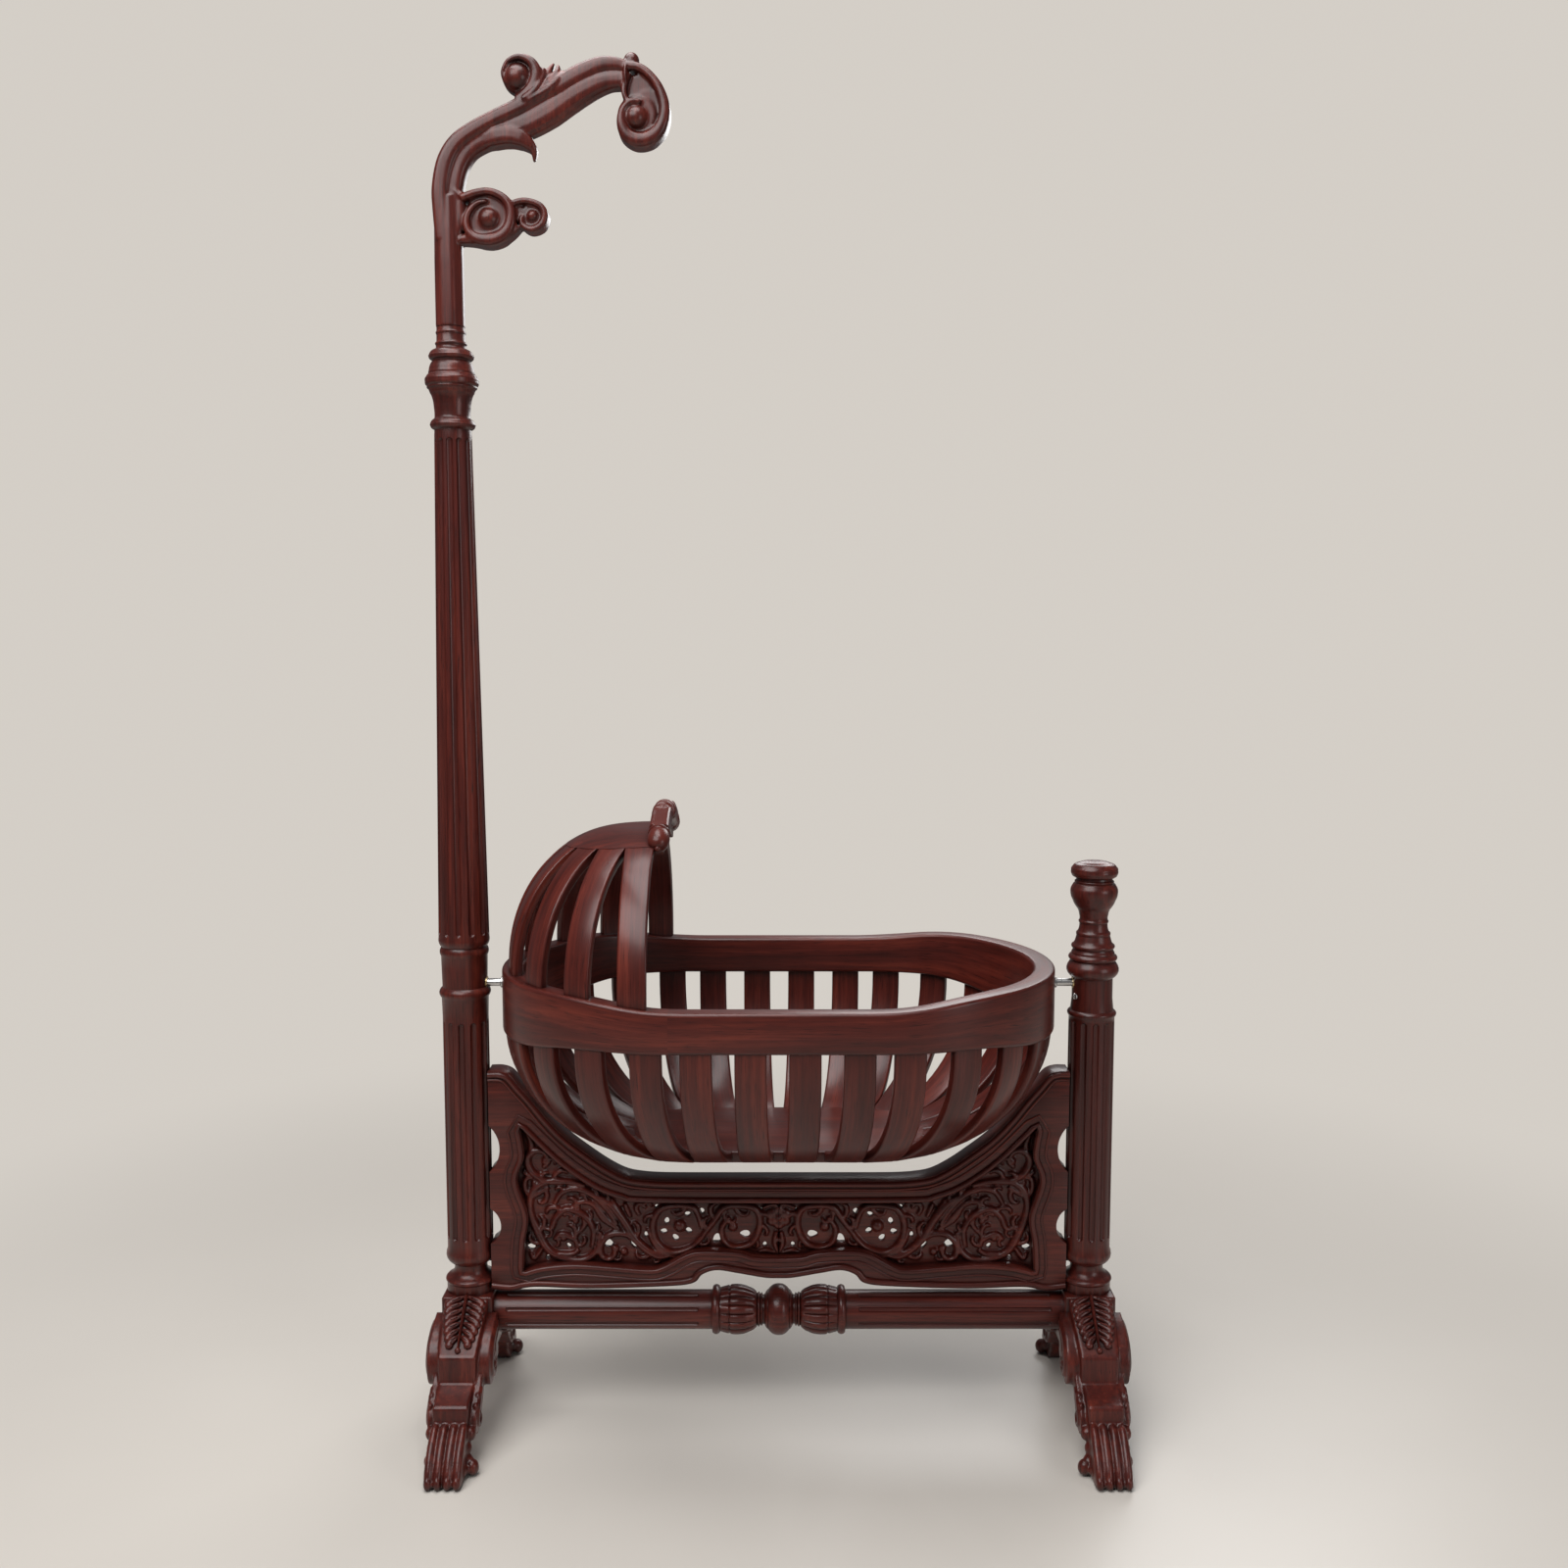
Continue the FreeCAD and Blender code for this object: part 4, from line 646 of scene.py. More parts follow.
def makeBand():
    middleRadius = basket["halfWidth"] - basket["bandThickness"] / 2
    stations = stadiumLine(middleRadius, basket["endCentre"], 64, 28)

    def pointAt(step, entry):
        spot, out = stations[step]
        top = waved(spot.x, basket["topMiddle"], basket["topEnd"], basket["topCurve"])
        foot = waved(spot.x, basket["footMiddle"], basket["footEnd"], basket["footCurve"])
        across, up = barCorner(entry, basket["bandThickness"], top - foot, basket["bandCorner"])
        return spot + out * across + Vector((0, 0, (top + foot) / 2 + up))

    finishPiece("rimBand", sweep(barSection(5), len(stations), pointAt, closed=True), woodUv, "basket")


def slatLine():
    # the middle of a slat's thickness: distance from the basket's middle, height, outward way
    centre = basket["slatOuter"] - basket["bend"]
    middle = basket["bend"] - basket["slatThick"] / 2
    last = math.acos((basket["boardEdge"] - centre) / middle)
    line = [(centre + middle, basket["tenonTop"], 0.0)]
    for step in range(19):
        turn = last * step / 18
        line.append((centre + middle * math.cos(turn), basket["bendHeight"] - middle * math.sin(turn), turn))
    return line


def makeSlat(name, row, end, turn, halfAngle):
    # row is the slat's place in a straight side, from the middle, and end is 1 or -1 in a round end
    line = slatLine()
    out = Vector((math.cos(turn), math.sin(turn), 0))
    side = Vector((-out.y, out.x, 0))

    def pointAt(step, entry):
        distance, height, lean = line[step]
        share = lean / line[-1][2]
        straight = basket["endCentre"] - basket["drawIn"] * share ** 2
        way = out * math.cos(lean) + Vector((0, 0, -math.sin(lean)))
        width = basket["slatWidth"] + (basket["lowWidth"] - basket["slatWidth"]) * share ** 1.4
        if end:
            width = min(width, 2 * distance * math.tan(halfAngle) - 0.0006)
        place = end * straight if end else row * straight / 2
        across, thick = barCorner(entry, width, basket["slatThick"], basket["slatCorner"])
        return Vector((place, 0, height)) + out * distance + side * across + way * thick

    finishPiece(name, sweep(barSection(), len(line), pointAt), woodUv, "basket")


def makeSlats():
    for side, word in ((-1, "front"), (1, "back")):
        for number in range(4):
            makeSlat("%sSlat%d" % (word, number + 1), number - 1.5, 0, side * math.pi / 2, 0)
    pitch = (180 - 2 * basket["firstAngle"]) / 9
    for side, word in ((-1, "head"), (1, "foot")):
        for number in range(10):
            angle = -90 + basket["firstAngle"] + number * pitch
            turn = math.radians(angle if side > 0 else 180 - angle)
            makeSlat("%sSlat%d" % (word, number + 1), 0, side, turn, math.radians(pitch / 2))


def makeBoard():
    bm = bmesh.new()
    rim = stadiumLine(basket["boardRim"], basket["endCentre"] - basket["drawIn"], 32, 8)
    bm.faces.new([bm.verts.new((spot.x, spot.y, basket["boardFoot"])) for spot, _ in rim])
    thicken(bm, (0, 0, basket["boardThick"]))
    softenRims(bm, basket["boardRound"], 3)
    finishPiece("bottomBoard", bm, woodX, "basket")


makeBand()
makeSlats()
makeBoard()
print("basket made")


# Hood: slats and crown lie on one rounded surface about a pole over the head end
hood = {
    "pole": -0.1855, "footCentre": -0.139, "footRadius": 0.241, "base": 0.667, "height": 0.193,
    "flat": 0.035, "thick": 0.014, "width": 0.039, "count": 9, "firstAngle": 10.5, "crownRadius": 0.112,
    "low": 0.650, "corner": 0.0032, "tipCorner": 0.0006, "overlap": 0.004, "front": 0.0195,
}


def hoodReach(turn):
    # from the rim of the hood's flat top out to the foot circle, in the direction of the turn
    shift = hood["footCentre"] - hood["pole"]
    circle = math.sqrt(hood["footRadius"] ** 2 - (shift * math.sin(turn)) ** 2)
    return shift * math.cos(turn) + circle - hood["flat"]


def hoodPoint(turn, rise, depth):
    # rise is the angle from the top of the hood's curve, depth goes into the wood
    reach = hoodReach(turn)
    slope = Vector((hood["height"] * math.sin(rise), reach * math.cos(rise))).normalized()
    distance = hood["flat"] + reach * math.sin(rise) - slope.x * depth
    height = hood["base"] + hood["height"] * math.cos(rise) - slope.y * depth
    return Vector((hood["pole"] + distance * math.cos(turn), distance * math.sin(turn), height))


def makeHoodSlats():
    pitch = (180 - 2 * hood["firstAngle"]) / (hood["count"] - 1)
    steps = 22
    for number in range(hood["count"]):
        angle = math.radians(hood["firstAngle"] + number * pitch)
        foot = Vector((hood["footCentre"] - hood["footRadius"] * math.sin(angle),
                       -hood["footRadius"] * math.cos(angle)))
        turn = math.atan2(foot.y, foot.x - hood["pole"])
        if number in (0, hood["count"] - 1):
            turn = math.copysign(math.pi / 2, turn)
        reach = hoodReach(turn)
        start = math.asin((hood["crownRadius"] - hood["overlap"] - hood["flat"]) / reach)

        def pointAt(step, entry, turn=turn, reach=reach, start=start):
            rise = start + (math.pi / 2 - start) * min(1.0, step / steps)
            along = hood["flat"] + reach * math.sin(rise)
            corner = between((hood["tipCorner"], hood["corner"]), min(1.0, step / 5))
            across, thick = barCorner(entry, hood["width"], hood["thick"], corner)
            spot = hoodPoint(turn + math.atan2(across, along), rise, hood["thick"] / 2 - thick * 0.985)
            if step > steps:
                spot.z = hood["low"]
            return spot

        finishPiece("hoodSlat%d" % (number + 1), sweep(barSection(), steps + 2, pointAt), woodUv, "basket")


def makeCrown():
    around = 64
    outward = 18
    strip = 3
    bm = bmesh.new()
    bmesh.ops.create_grid(bm, x_segments=around + 2 * strip, y_segments=outward, size=1.0)
    for vert in bm.verts:
        column = round((vert.co.x + 1) / 2 * (around + 2 * strip)) - strip
        distance = hood["crownRadius"] * (vert.co.y + 1) / 2
        turn = math.pi / 2 + math.pi * min(max(column, 0), around) / around
        front = hood["front"] * max(-column, column - around, 0) / strip
        spot = Vector((distance * math.cos(turn) + front, distance * math.sin(turn)))
        share = max(0.0, spot.length - hood["flat"]) / hoodReach(math.atan2(spot.y, spot.x))
        vert.co = (hood["pole"] + spot.x, spot.y, hood["base"] + hood["height"] * math.sqrt(1 - share ** 2))
    bmesh.ops.remove_doubles(bm, verts=bm.verts, dist=1e-6)
    bmesh.ops.recalc_face_normals(bm, faces=bm.faces)
    if sum(face.normal.z for face in bm.faces) < 0:
        bmesh.ops.reverse_faces(bm, faces=bm.faces)
    bmesh.ops.solidify(bm, geom=list(bm.faces), thickness=hood["thick"])
    finishPiece("hoodCrown", bm, woodX, "basket")


# Crest handle: a turned tube bent over the hood's front on a shallow web
crest = {
    "place": -0.1605, "bend": 0.193, "top": 0.881, "halfAngle": 31.0, "webThick": 0.012, "webDeep": 0.026,
    "stretch": 1.05, "fuller": 1.05, "barrel": (31.5, 84.0), "barrelPower": 5.0, "panelHalf": 9.2,
    "panelSink": 1.3,
    "half": [(0, 13.6), (8.5, 13.6), (9.3, 14.5), (12.2, 14.7), (13.2, 12.4), (14, 11.8), (24, 11.9),
             (25, 13.6), (26.5, 14.3), (28.5, 14.3), (30, 13.6), (31, 13), (32, 12.8), (34, 12.7),
             (50, 12.6), (66, 12.7), (80, 12.9), (83, 13.0), (84, 13.8), (85, 14.4), (87, 14.4), (88, 13.2),
             (89, 13.0), (92, 13.9), (97, 14.4), (102, 14.3), (107, 13.2), (111, 11.2), (114, 8.6),
             (115.6, 6), (116, 4.4), (118, 4.5), (120, 3.4), (121, 1.8), (121.3, 0.2)],
}


def makeCrest():
    half = crest["half"]
    stations = [(-along, radius) for along, radius in reversed(half[1:])] + half
    corners = [math.tau * step / 48 for step in range(48)]
    low, high = crest["barrel"]
    bendCentre = Vector((crest["place"], 0, crest["top"] - crest["bend"]))

    def tubePoint(step, entry):
        along, radius = stations[step]
        turn = along * crest["stretch"] * mm / crest["bend"]
        way = Vector((0, math.sin(turn), math.cos(turn)))
        up, across = math.cos(entry), math.sin(entry)
        if low < abs(along) < high:
            power = crest["barrelPower"]
            radius = radius / (abs(up) ** power + abs(across) ** power) ** (1 / power)
            inside = abs(across) * radius < crest["panelHalf"] and low + 2 < abs(along) < high - 3
            if up > 0 and inside:
                radius -= crest["panelSink"]
        radius *= crest["fuller"] * mm
        return bendCentre + way * (crest["bend"] + radius * up) + Vector((radius * across, 0, 0))

    bm = sweep(corners, len(stations), tubePoint)
    steps = 24

    def webPoint(step, entry):
        turn = math.radians(crest["halfAngle"]) * (2 * step / steps - 1)
        way = Vector((0, math.sin(turn), math.cos(turn)))
        across, up = barCorner(entry, crest["webThick"], crest["webDeep"], 0.002)
        return bendCentre + way * (crest["bend"] - crest["webDeep"] / 2 + up) + Vector((across, 0, 0))

    addTo(bm, sweep(barSection(2), steps + 1, webPoint))
    finishPiece("crestHandle", bm, woodUv, "basket", sharp=30)


makeHoodSlats()
makeCrown()
makeCrest()
print("hood made")


# Steel pivot pins with collars, and the set screw in the short post: radius and place in millimetres
pins = {
    "start": 0.373, "lengths": (("left", -1, 60.14), ("right", 1, 63.56)),
    "rows": [(0, 0), (5.5, 0), (5.5, 14.9), (7.2, 15.0), (8.0, 15.8), (8.0, 17.4), (7.5, 17.8), (7.5, 18.2),
             (8.0, 18.6), (8.0, 20.2), (7.2, 21.0), (5.5, 21.0)],
    "screw": [(0, -12.0), (3.0, -12.0), (3.0, 0), (4.5, 0), (4.5, 0.9), (4.2, 1.7), (3.3, 2.3), (1.8, 2.5),
              (0, 2.5)],
    "screwTurn": 24.0, "screwDrop": 0.018, "screwSeat": 0.02784, "slotHalf": 0.0009, "slotDeep": 0.0012,
}


def makePins():
    for word, side, length in pins["lengths"]:
        rows = pins["rows"] + [(5.5, length - 0.8), (4.7, length), (0, length)]
        bm = spinProfile(rows, 48, mm)
        for vert in bm.verts:
            vert.co = Vector((side * (pins["start"] + vert.co.z), vert.co.x, cradle["pivot"] + vert.co.y))
        finishPiece(word + "PivotPin", bm, pinSteel, "basket", None, 30)


def makeSetScrew():
    turn = math.radians(pins["screwTurn"])
    way = Vector((-math.cos(turn), -math.sin(turn), 0))
    side = Vector((way.y, -way.x, 0))
    seat = Vector((cradle["halfSpacing"], 0, cradle["pivot"] - pins["screwDrop"]))
    seat += way * pins["screwSeat"]
    bm = spinProfile(pins["screw"], 40, mm)
    for vert in bm.verts:
        # the driver's slot is pressed in across the domed head
        if abs(vert.co.x) < pins["slotHalf"] and vert.co.z > 0.0015:
            vert.co.z -= pins["slotDeep"]
        vert.co = seat + way * vert.co.z + side * vert.co.x + Vector((0, 0, vert.co.y))
    finishPiece("bushSetScrew", bm, pinSteel, "stand", None, 30)


makePins()
makeSetScrew()
for node, material in (("left_pivot_bush", bushBrass), ("right_pivot_bush", bushBrass),
                       ("leg_dowels", woodZ), ("panel_dowels", woodX)):
    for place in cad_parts[node].material_slots:
        place.material = material
print("pins made")


# Carved legs, modelled as the front leg of the left post and mirrored from it
leg = {
    "stripTop": (0.036, 0.1865), "stripFoot": (0.107, 0.1355), "stripWidth": (0.060, 0.050),
    "cheekHalf": 0.0435, "ankleHalf": 0.0335,
    # top edge, foot edge and width along the leg: sloping strip, step, plain instep, lip and foot
    "stations": [
        ((30, 185), (34, 98), 61), ((38, 184), (40, 97), 62), ((60, 168), (56, 90), 60),
        ((85, 150), (80, 79), 56), ((106, 134.5), (97, 70), 53), ((109, 131), (101, 68), 52),
        ((111.5, 99.5), (106, 58), 50), ((113, 96.5), (108, 55), 49), ((130, 91), (121, 46), 48),
        ((147, 86.5), (133, 34), 48), ((152.5, 85.5), (136, 28), 49), ((155.5, 82.5), (138, 24), 49),
        ((157.5, 66), (142, 17), 46), ((161, 59), (146, 11), 48), ((177, 47), (150, 6), 50),
        ((192, 33), (153, 2), 51), ((205, 18), (156, 0.4), 51), ((211, 8.5), (158, 0.3), 50),
        ((212, 3), (162, 0.3), 50),
    ],
    "cheek": [(34, 164), (60, 157), (82, 146), (97, 128), (102, 108), (96, 90), (84, 82), (70, 84),
              (60, 92), (34, 103)],
    "ankle": [(84, 132), (98, 113), (110, 97), (126, 86), (140, 74), (148, 60), (146, 46), (136, 38),
              (122, 42), (108, 56), (94, 72), (84, 96)],
    # carved lines of the sides: half width of the board that a line lies on, the line, its widths and rise
    "sideCarving": [
        (0.0435, [(40, 152), (60, 148), (80, 136), (90, 116), (84, 98), (70, 94), (60, 104), (64, 116),
          (74, 118), (78, 110)], (0.012, 0.013, 0.011, 0.009, 0.006), 0.0045),
        (0.0435, [(38, 140), (52, 136), (62, 128), (56, 116), (44, 112)], (0.007, 0.010, 0.006), 0.0035),
        (0.0335, [(110, 91), (124, 80), (136, 68), (138, 55), (129, 47), (119, 53), (121, 62)],
         (0.006, 0.009, 0.009, 0.007, 0.005), 0.004),
    ],
    # beads on the leg's sides: along, up, out and radius
    "beads": [(123, 84, 32, 5.5), (135, 76, 31, 5.0), (152, 47, 27, 9.5), (163, 32, 24.5, 8.0),
              (169, 17, 26, 9.5), (184, 12, 23, 7.5)],
    "cheekBall": (0.0735, 0.107, 0.0055, 0.0065), "claw": (0.2125, 0.0088),
    "clawSize": (0.0054, 0.0060, 0.0088),
    "toes": [-19.2, -6.4, 6.4, 19.2],
    "toeLine": [(157, 60), (165, 58), (178, 49), (192, 36), (204, 21), (210.5, 9.5)],
    "toeWidths": [7, 11, 12, 12.4, 12.4, 11],
    "footBall": [(0.0325, 0.174, 0.0113), (0.0094, 0.0098, 0.0110)],
    # acanthus lobes: start, share of the reach and drop of each point
    "lobes": 7, "lobeWidths": (0.0044, 0.0084, 0.0114, 0.0108), "lobeRun": 0.80, "lobeTaper": 0.42,
    "lobeLine": [(0.002, 0, 0), (0, 0.40, 0.003), (0, 0.78, 0.0075), (0, 1, 0.0125)],
    "veinLine": [(0, 0.30, 0.0030), (0, 0.75, 0.0080)],
    "voxel": 0.0015,
}


def legBody():
    def pointAt(step, entry):
        top, foot, width = leg["stations"][step]
        top = Vector((0, *top)) * mm
        foot = Vector((0, *foot)) * mm
        tall = (top - foot).length
        across, up = barCorner(entry, width * mm, tall, 0.0025)
        return (top + foot) / 2 + (top - foot) / tall * up + Vector((across, 0, 0))

    bm = sweep(barSection(), len(leg["stations"]), pointAt)
    # cheeks: wider boards beside the knee and the ankle, with rounded rims and carved sides
    for name, half in (("cheek", leg["cheekHalf"]), ("ankle", leg["ankleHalf"])):
        outline = smoothLine(inMetres(leg[name]), 4)
        cheek = plate(outline, [], 2 * half, 0)
        softenRims(cheek, 0.005, 4, 70)
        for vert in cheek.verts:
            vert.co = Vector((vert.co.y - half, vert.co.x, vert.co.z))
        addTo(bm, cheek)
    for side in (-1, 1):
        for half, line, widths, rise in leg["sideCarving"]:
            def onCheek(along, up, rise, side=side, half=half):
                return Vector((side * (half - 0.0005 + rise), along, up))

            addTo(bm, ridge(inMetres(line), widths, rise, onCheek))
        along, up, out, radius = leg["cheekBall"]
        addTo(bm, ball((side * leg["cheekHalf"], along, up), (out, radius, radius)))
        for along, up, out, radius in leg["beads"]:
            size = radius * mm
            addTo(bm, ball((side * out * mm, along * mm, up * mm), (0.8 * size, size, size)))
    return bm


def legToe(across):
    path = smoothLine([(across * mm, along * mm, up * mm) for along, up in leg["toeLine"]], 5)

    def pointAt(step, entry):
        way = wayAt(path, step)
        radius = between(leg["toeWidths"], step / (len(path) - 1)) * mm / 2
        up = Vector((0, -way.z, way.y)) * 1.15 * math.sin(entry)
        return path[step] + (Vector((math.cos(entry), 0, 0)) + up) * radius

    return sweep([math.tau * step / 16 for step in range(16)], len(path), pointAt)


def carveAcanthus(bm):
    # on the sloping face: a middle rib and pairs of rounded lobes that shrink towards the tip
    start = Vector((0, *leg["stripTop"]))
    end = Vector((0, *leg["stripFoot"]))
    slope = (end - start).normalized()
    normal = Vector((0, -slope.z, slope.y))
    length = (end - start).length

    def onStrip(across, down, rise):
        return start + slope * down + normal * rise + Vector((across, 0, 0))

    wide, narrow = leg["stripWidth"]
    for side in (-1, 1):
        for number in range(leg["lobes"]):
            share = number / leg["lobes"]
            reach = (wide + (narrow - wide) * share) / 2 * (1.0 - leg["lobeTaper"] * share ** 3) - 0.005
            down = length * leg["lobeRun"] * share
            lobe, vein = ([(side * (first + part * reach), down + drop) for first, part, drop in leg[name]]
                          for name in ("lobeLine", "veinLine"))
            addTo(bm, ridge(lobe, leg["lobeWidths"], 0.0050, onStrip, 8))
            addTo(bm, dome(side * (reach - 0.0010), down + 0.0128, 0.0059, 0.0048, onStrip))
            addTo(bm, ridge(vein, (0.0016, 0.0022), 0.0062, onStrip, 4))
    rib = [(0, 0.0), (0, length * 0.5), (0, length * 0.93)]
    addTo(bm, ridge(rib, (0.0062, 0.0052, 0.0030), 0.0068, onStrip))
    addTo(bm, dome(0, length * 0.925, 0.0042, 0.0045, onStrip))


def makeLegs():
    for sideWord, side in (("Left", -1), ("Right", 1)):
        for frontWord, front in (("front", -1), ("back", 1)):
            bm = legBody()
            for across in leg["toes"]:
                addTo(bm, legToe(across))
                addTo(bm, ball((across * mm, *leg["claw"]), leg["clawSize"], 20, 12))
            addTo(bm, ball(*leg["footBall"], 24, 14))
            bm = carved(bm, leg["voxel"], 2)
            carveAcanthus(bm)
            # the ball is on the cradle's inner side of each foot
            for vert in bm.verts:
                vert.co = Vector((side * (cradle["halfSpacing"] - vert.co.x), front * vert.co.y, vert.co.z))
            finishPiece(frontWord + sideWord + "Leg", bm, woodZ, "stand", sharp=50)


makeLegs()
print("legs made")


# Apron panel: outlines as X and Z in millimetres, right half, from the middle outwards
apron = {
    "half": 0.4124, "thick": 0.036, "foot": 188.0, "middle": 351.0, "top": 511.0,
    "topRows": [(0, 0), (.15, 0), (.30, 0), (.40, .002), (.47, .013), (.530, .042), (.590, .12), (.655, .235),
                (.730, .385), (.790, .545), (.850, .74), (.890, .86), (.925, .965), (.960, 1), (1, 1)],
    "bottomRows": [(0, .115), (.05, .12), (.14, .16), (.215, .188), (.265, .15), (.30, .07), (.40, .04),
                   (.66, .02), (.85, .035), (.93, 0), (1, .015)],
    "openTop": [(0, .797), (.46, .805), (.55, .84), (.645, .94), (.765, 1.16), (.893, 1.485)],
    "openSide": [(.893, 1.485), (.88, 1.22), (.905, 1.0), (.87, .681), (.882, .444), (.888, .18)],
    "openBottom": [(.888, .18), (.82, .228), (.71, .252), (.59, .233), (.46, .207), (.405, .228),
                   (.315, .35), (.25, .374), (.138, .36), (.08, .32), (0, .311)],
    # mouldings along the opening, the top and the foot: distance from the edge, width and rise
    "openRims": [(-0.0045, 0.0085, 0.0048), (-0.0175, 0.0040, 0.0020)],
    "topRims": [(0.0050, 0.0080, 0.0040), (0.0125, 0.0040, 0.0022)],
    "footRims": [(-0.0055, 0.0090, 0.0045)],
    "scallops": [(398.0, 68.0), (284.0, 52.0)],
    "scallopDeep": 15.0,
}


def apronRows(name, foot, top, perSpan=7):
    # an outline's rows are shares of the panel's half length and of the height from foot to top
    rise = apron[top] - apron[foot]
    points = [(across * apron["half"], (apron[foot] + share * rise) * mm) for across, share in apron[name]]
    return smoothLine(points, perSpan)


def flipped(line):
    return [Vector((-point.x, point.y, 0)) for point in reversed(line)]


apronTop = apronRows("topRows", "middle", "top")
apronBottom = apronRows("bottomRows", "foot", "middle")
openTop = apronRows("openTop", "foot", "middle", 9)
openSide = apronRows("openSide", "foot", "middle")
openBottom = apronRows("openBottom", "foot", "middle")


def apronSide():
    # from the top corner down the side, with its two scallops
    side = [Vector((apron["half"], apronTop[-1].y, 0))]
    deep = apron["scallopDeep"]
    for level, length in apron["scallops"]:
        radius = (deep * deep + length * length / 4) / (2 * deep)
        for step in range(17):
            up = level + length * (0.5 - step / 16)
            inward = math.sqrt(radius ** 2 - (up - level) ** 2) - (radius - deep)
            side.append(Vector((apron["half"] - max(inward, 0) * mm, up * mm, 0)))
    return side


def closedOutline(right):
    # a whole outline from its right half, whose two ends lie on the middle line
    return right + flipped(right[1:-1])


openOutline = closedOutline(openTop + openSide[1:] + openBottom[1:])


def onBoard(thick, face, mirror=1):
    # where a carved point lies on a board's front (-1) or back (1)
    return lambda across, up, rise: Vector((mirror * across, face * (thick / 2 + rise), up))


def makeApron():
    outline = closedOutline(apronTop[:-1] + apronSide() + list(reversed(apronBottom)))
    bm = plate(outline, [openOutline], apron["thick"], -apron["thick"] / 2)
    softenRims(bm, 0.002, 2, 70)
    finishPiece("apronPanel", bm, woodX, "stand")


def makeApronMouldings():
    # raised lines that follow the opening and the panel's edges, on both faces
    bm = bmesh.new()
    wholeTop = flipped(apronTop)[:-1] + apronTop
    wholeBottom = flipped(apronBottom)[:-1] + apronBottom
    for face in (-1, 1):
        for line, closed, rims in (
                (openOutline, True, apron["openRims"]), (wholeTop, False, apron["topRims"]),
                (wholeBottom, False, apron["footRims"])):
            for distance, width, rise in rims:
                addTo(bm, ridge(offsetLine(line, distance, closed), (width, width), rise,
                                onBoard(apron["thick"], face), 6, 1, closed))
    finishPiece("apronMouldings", bm, woodUv, "stand", "apron_panel")


makeApron()
makeApronMouldings()
print("panel made")


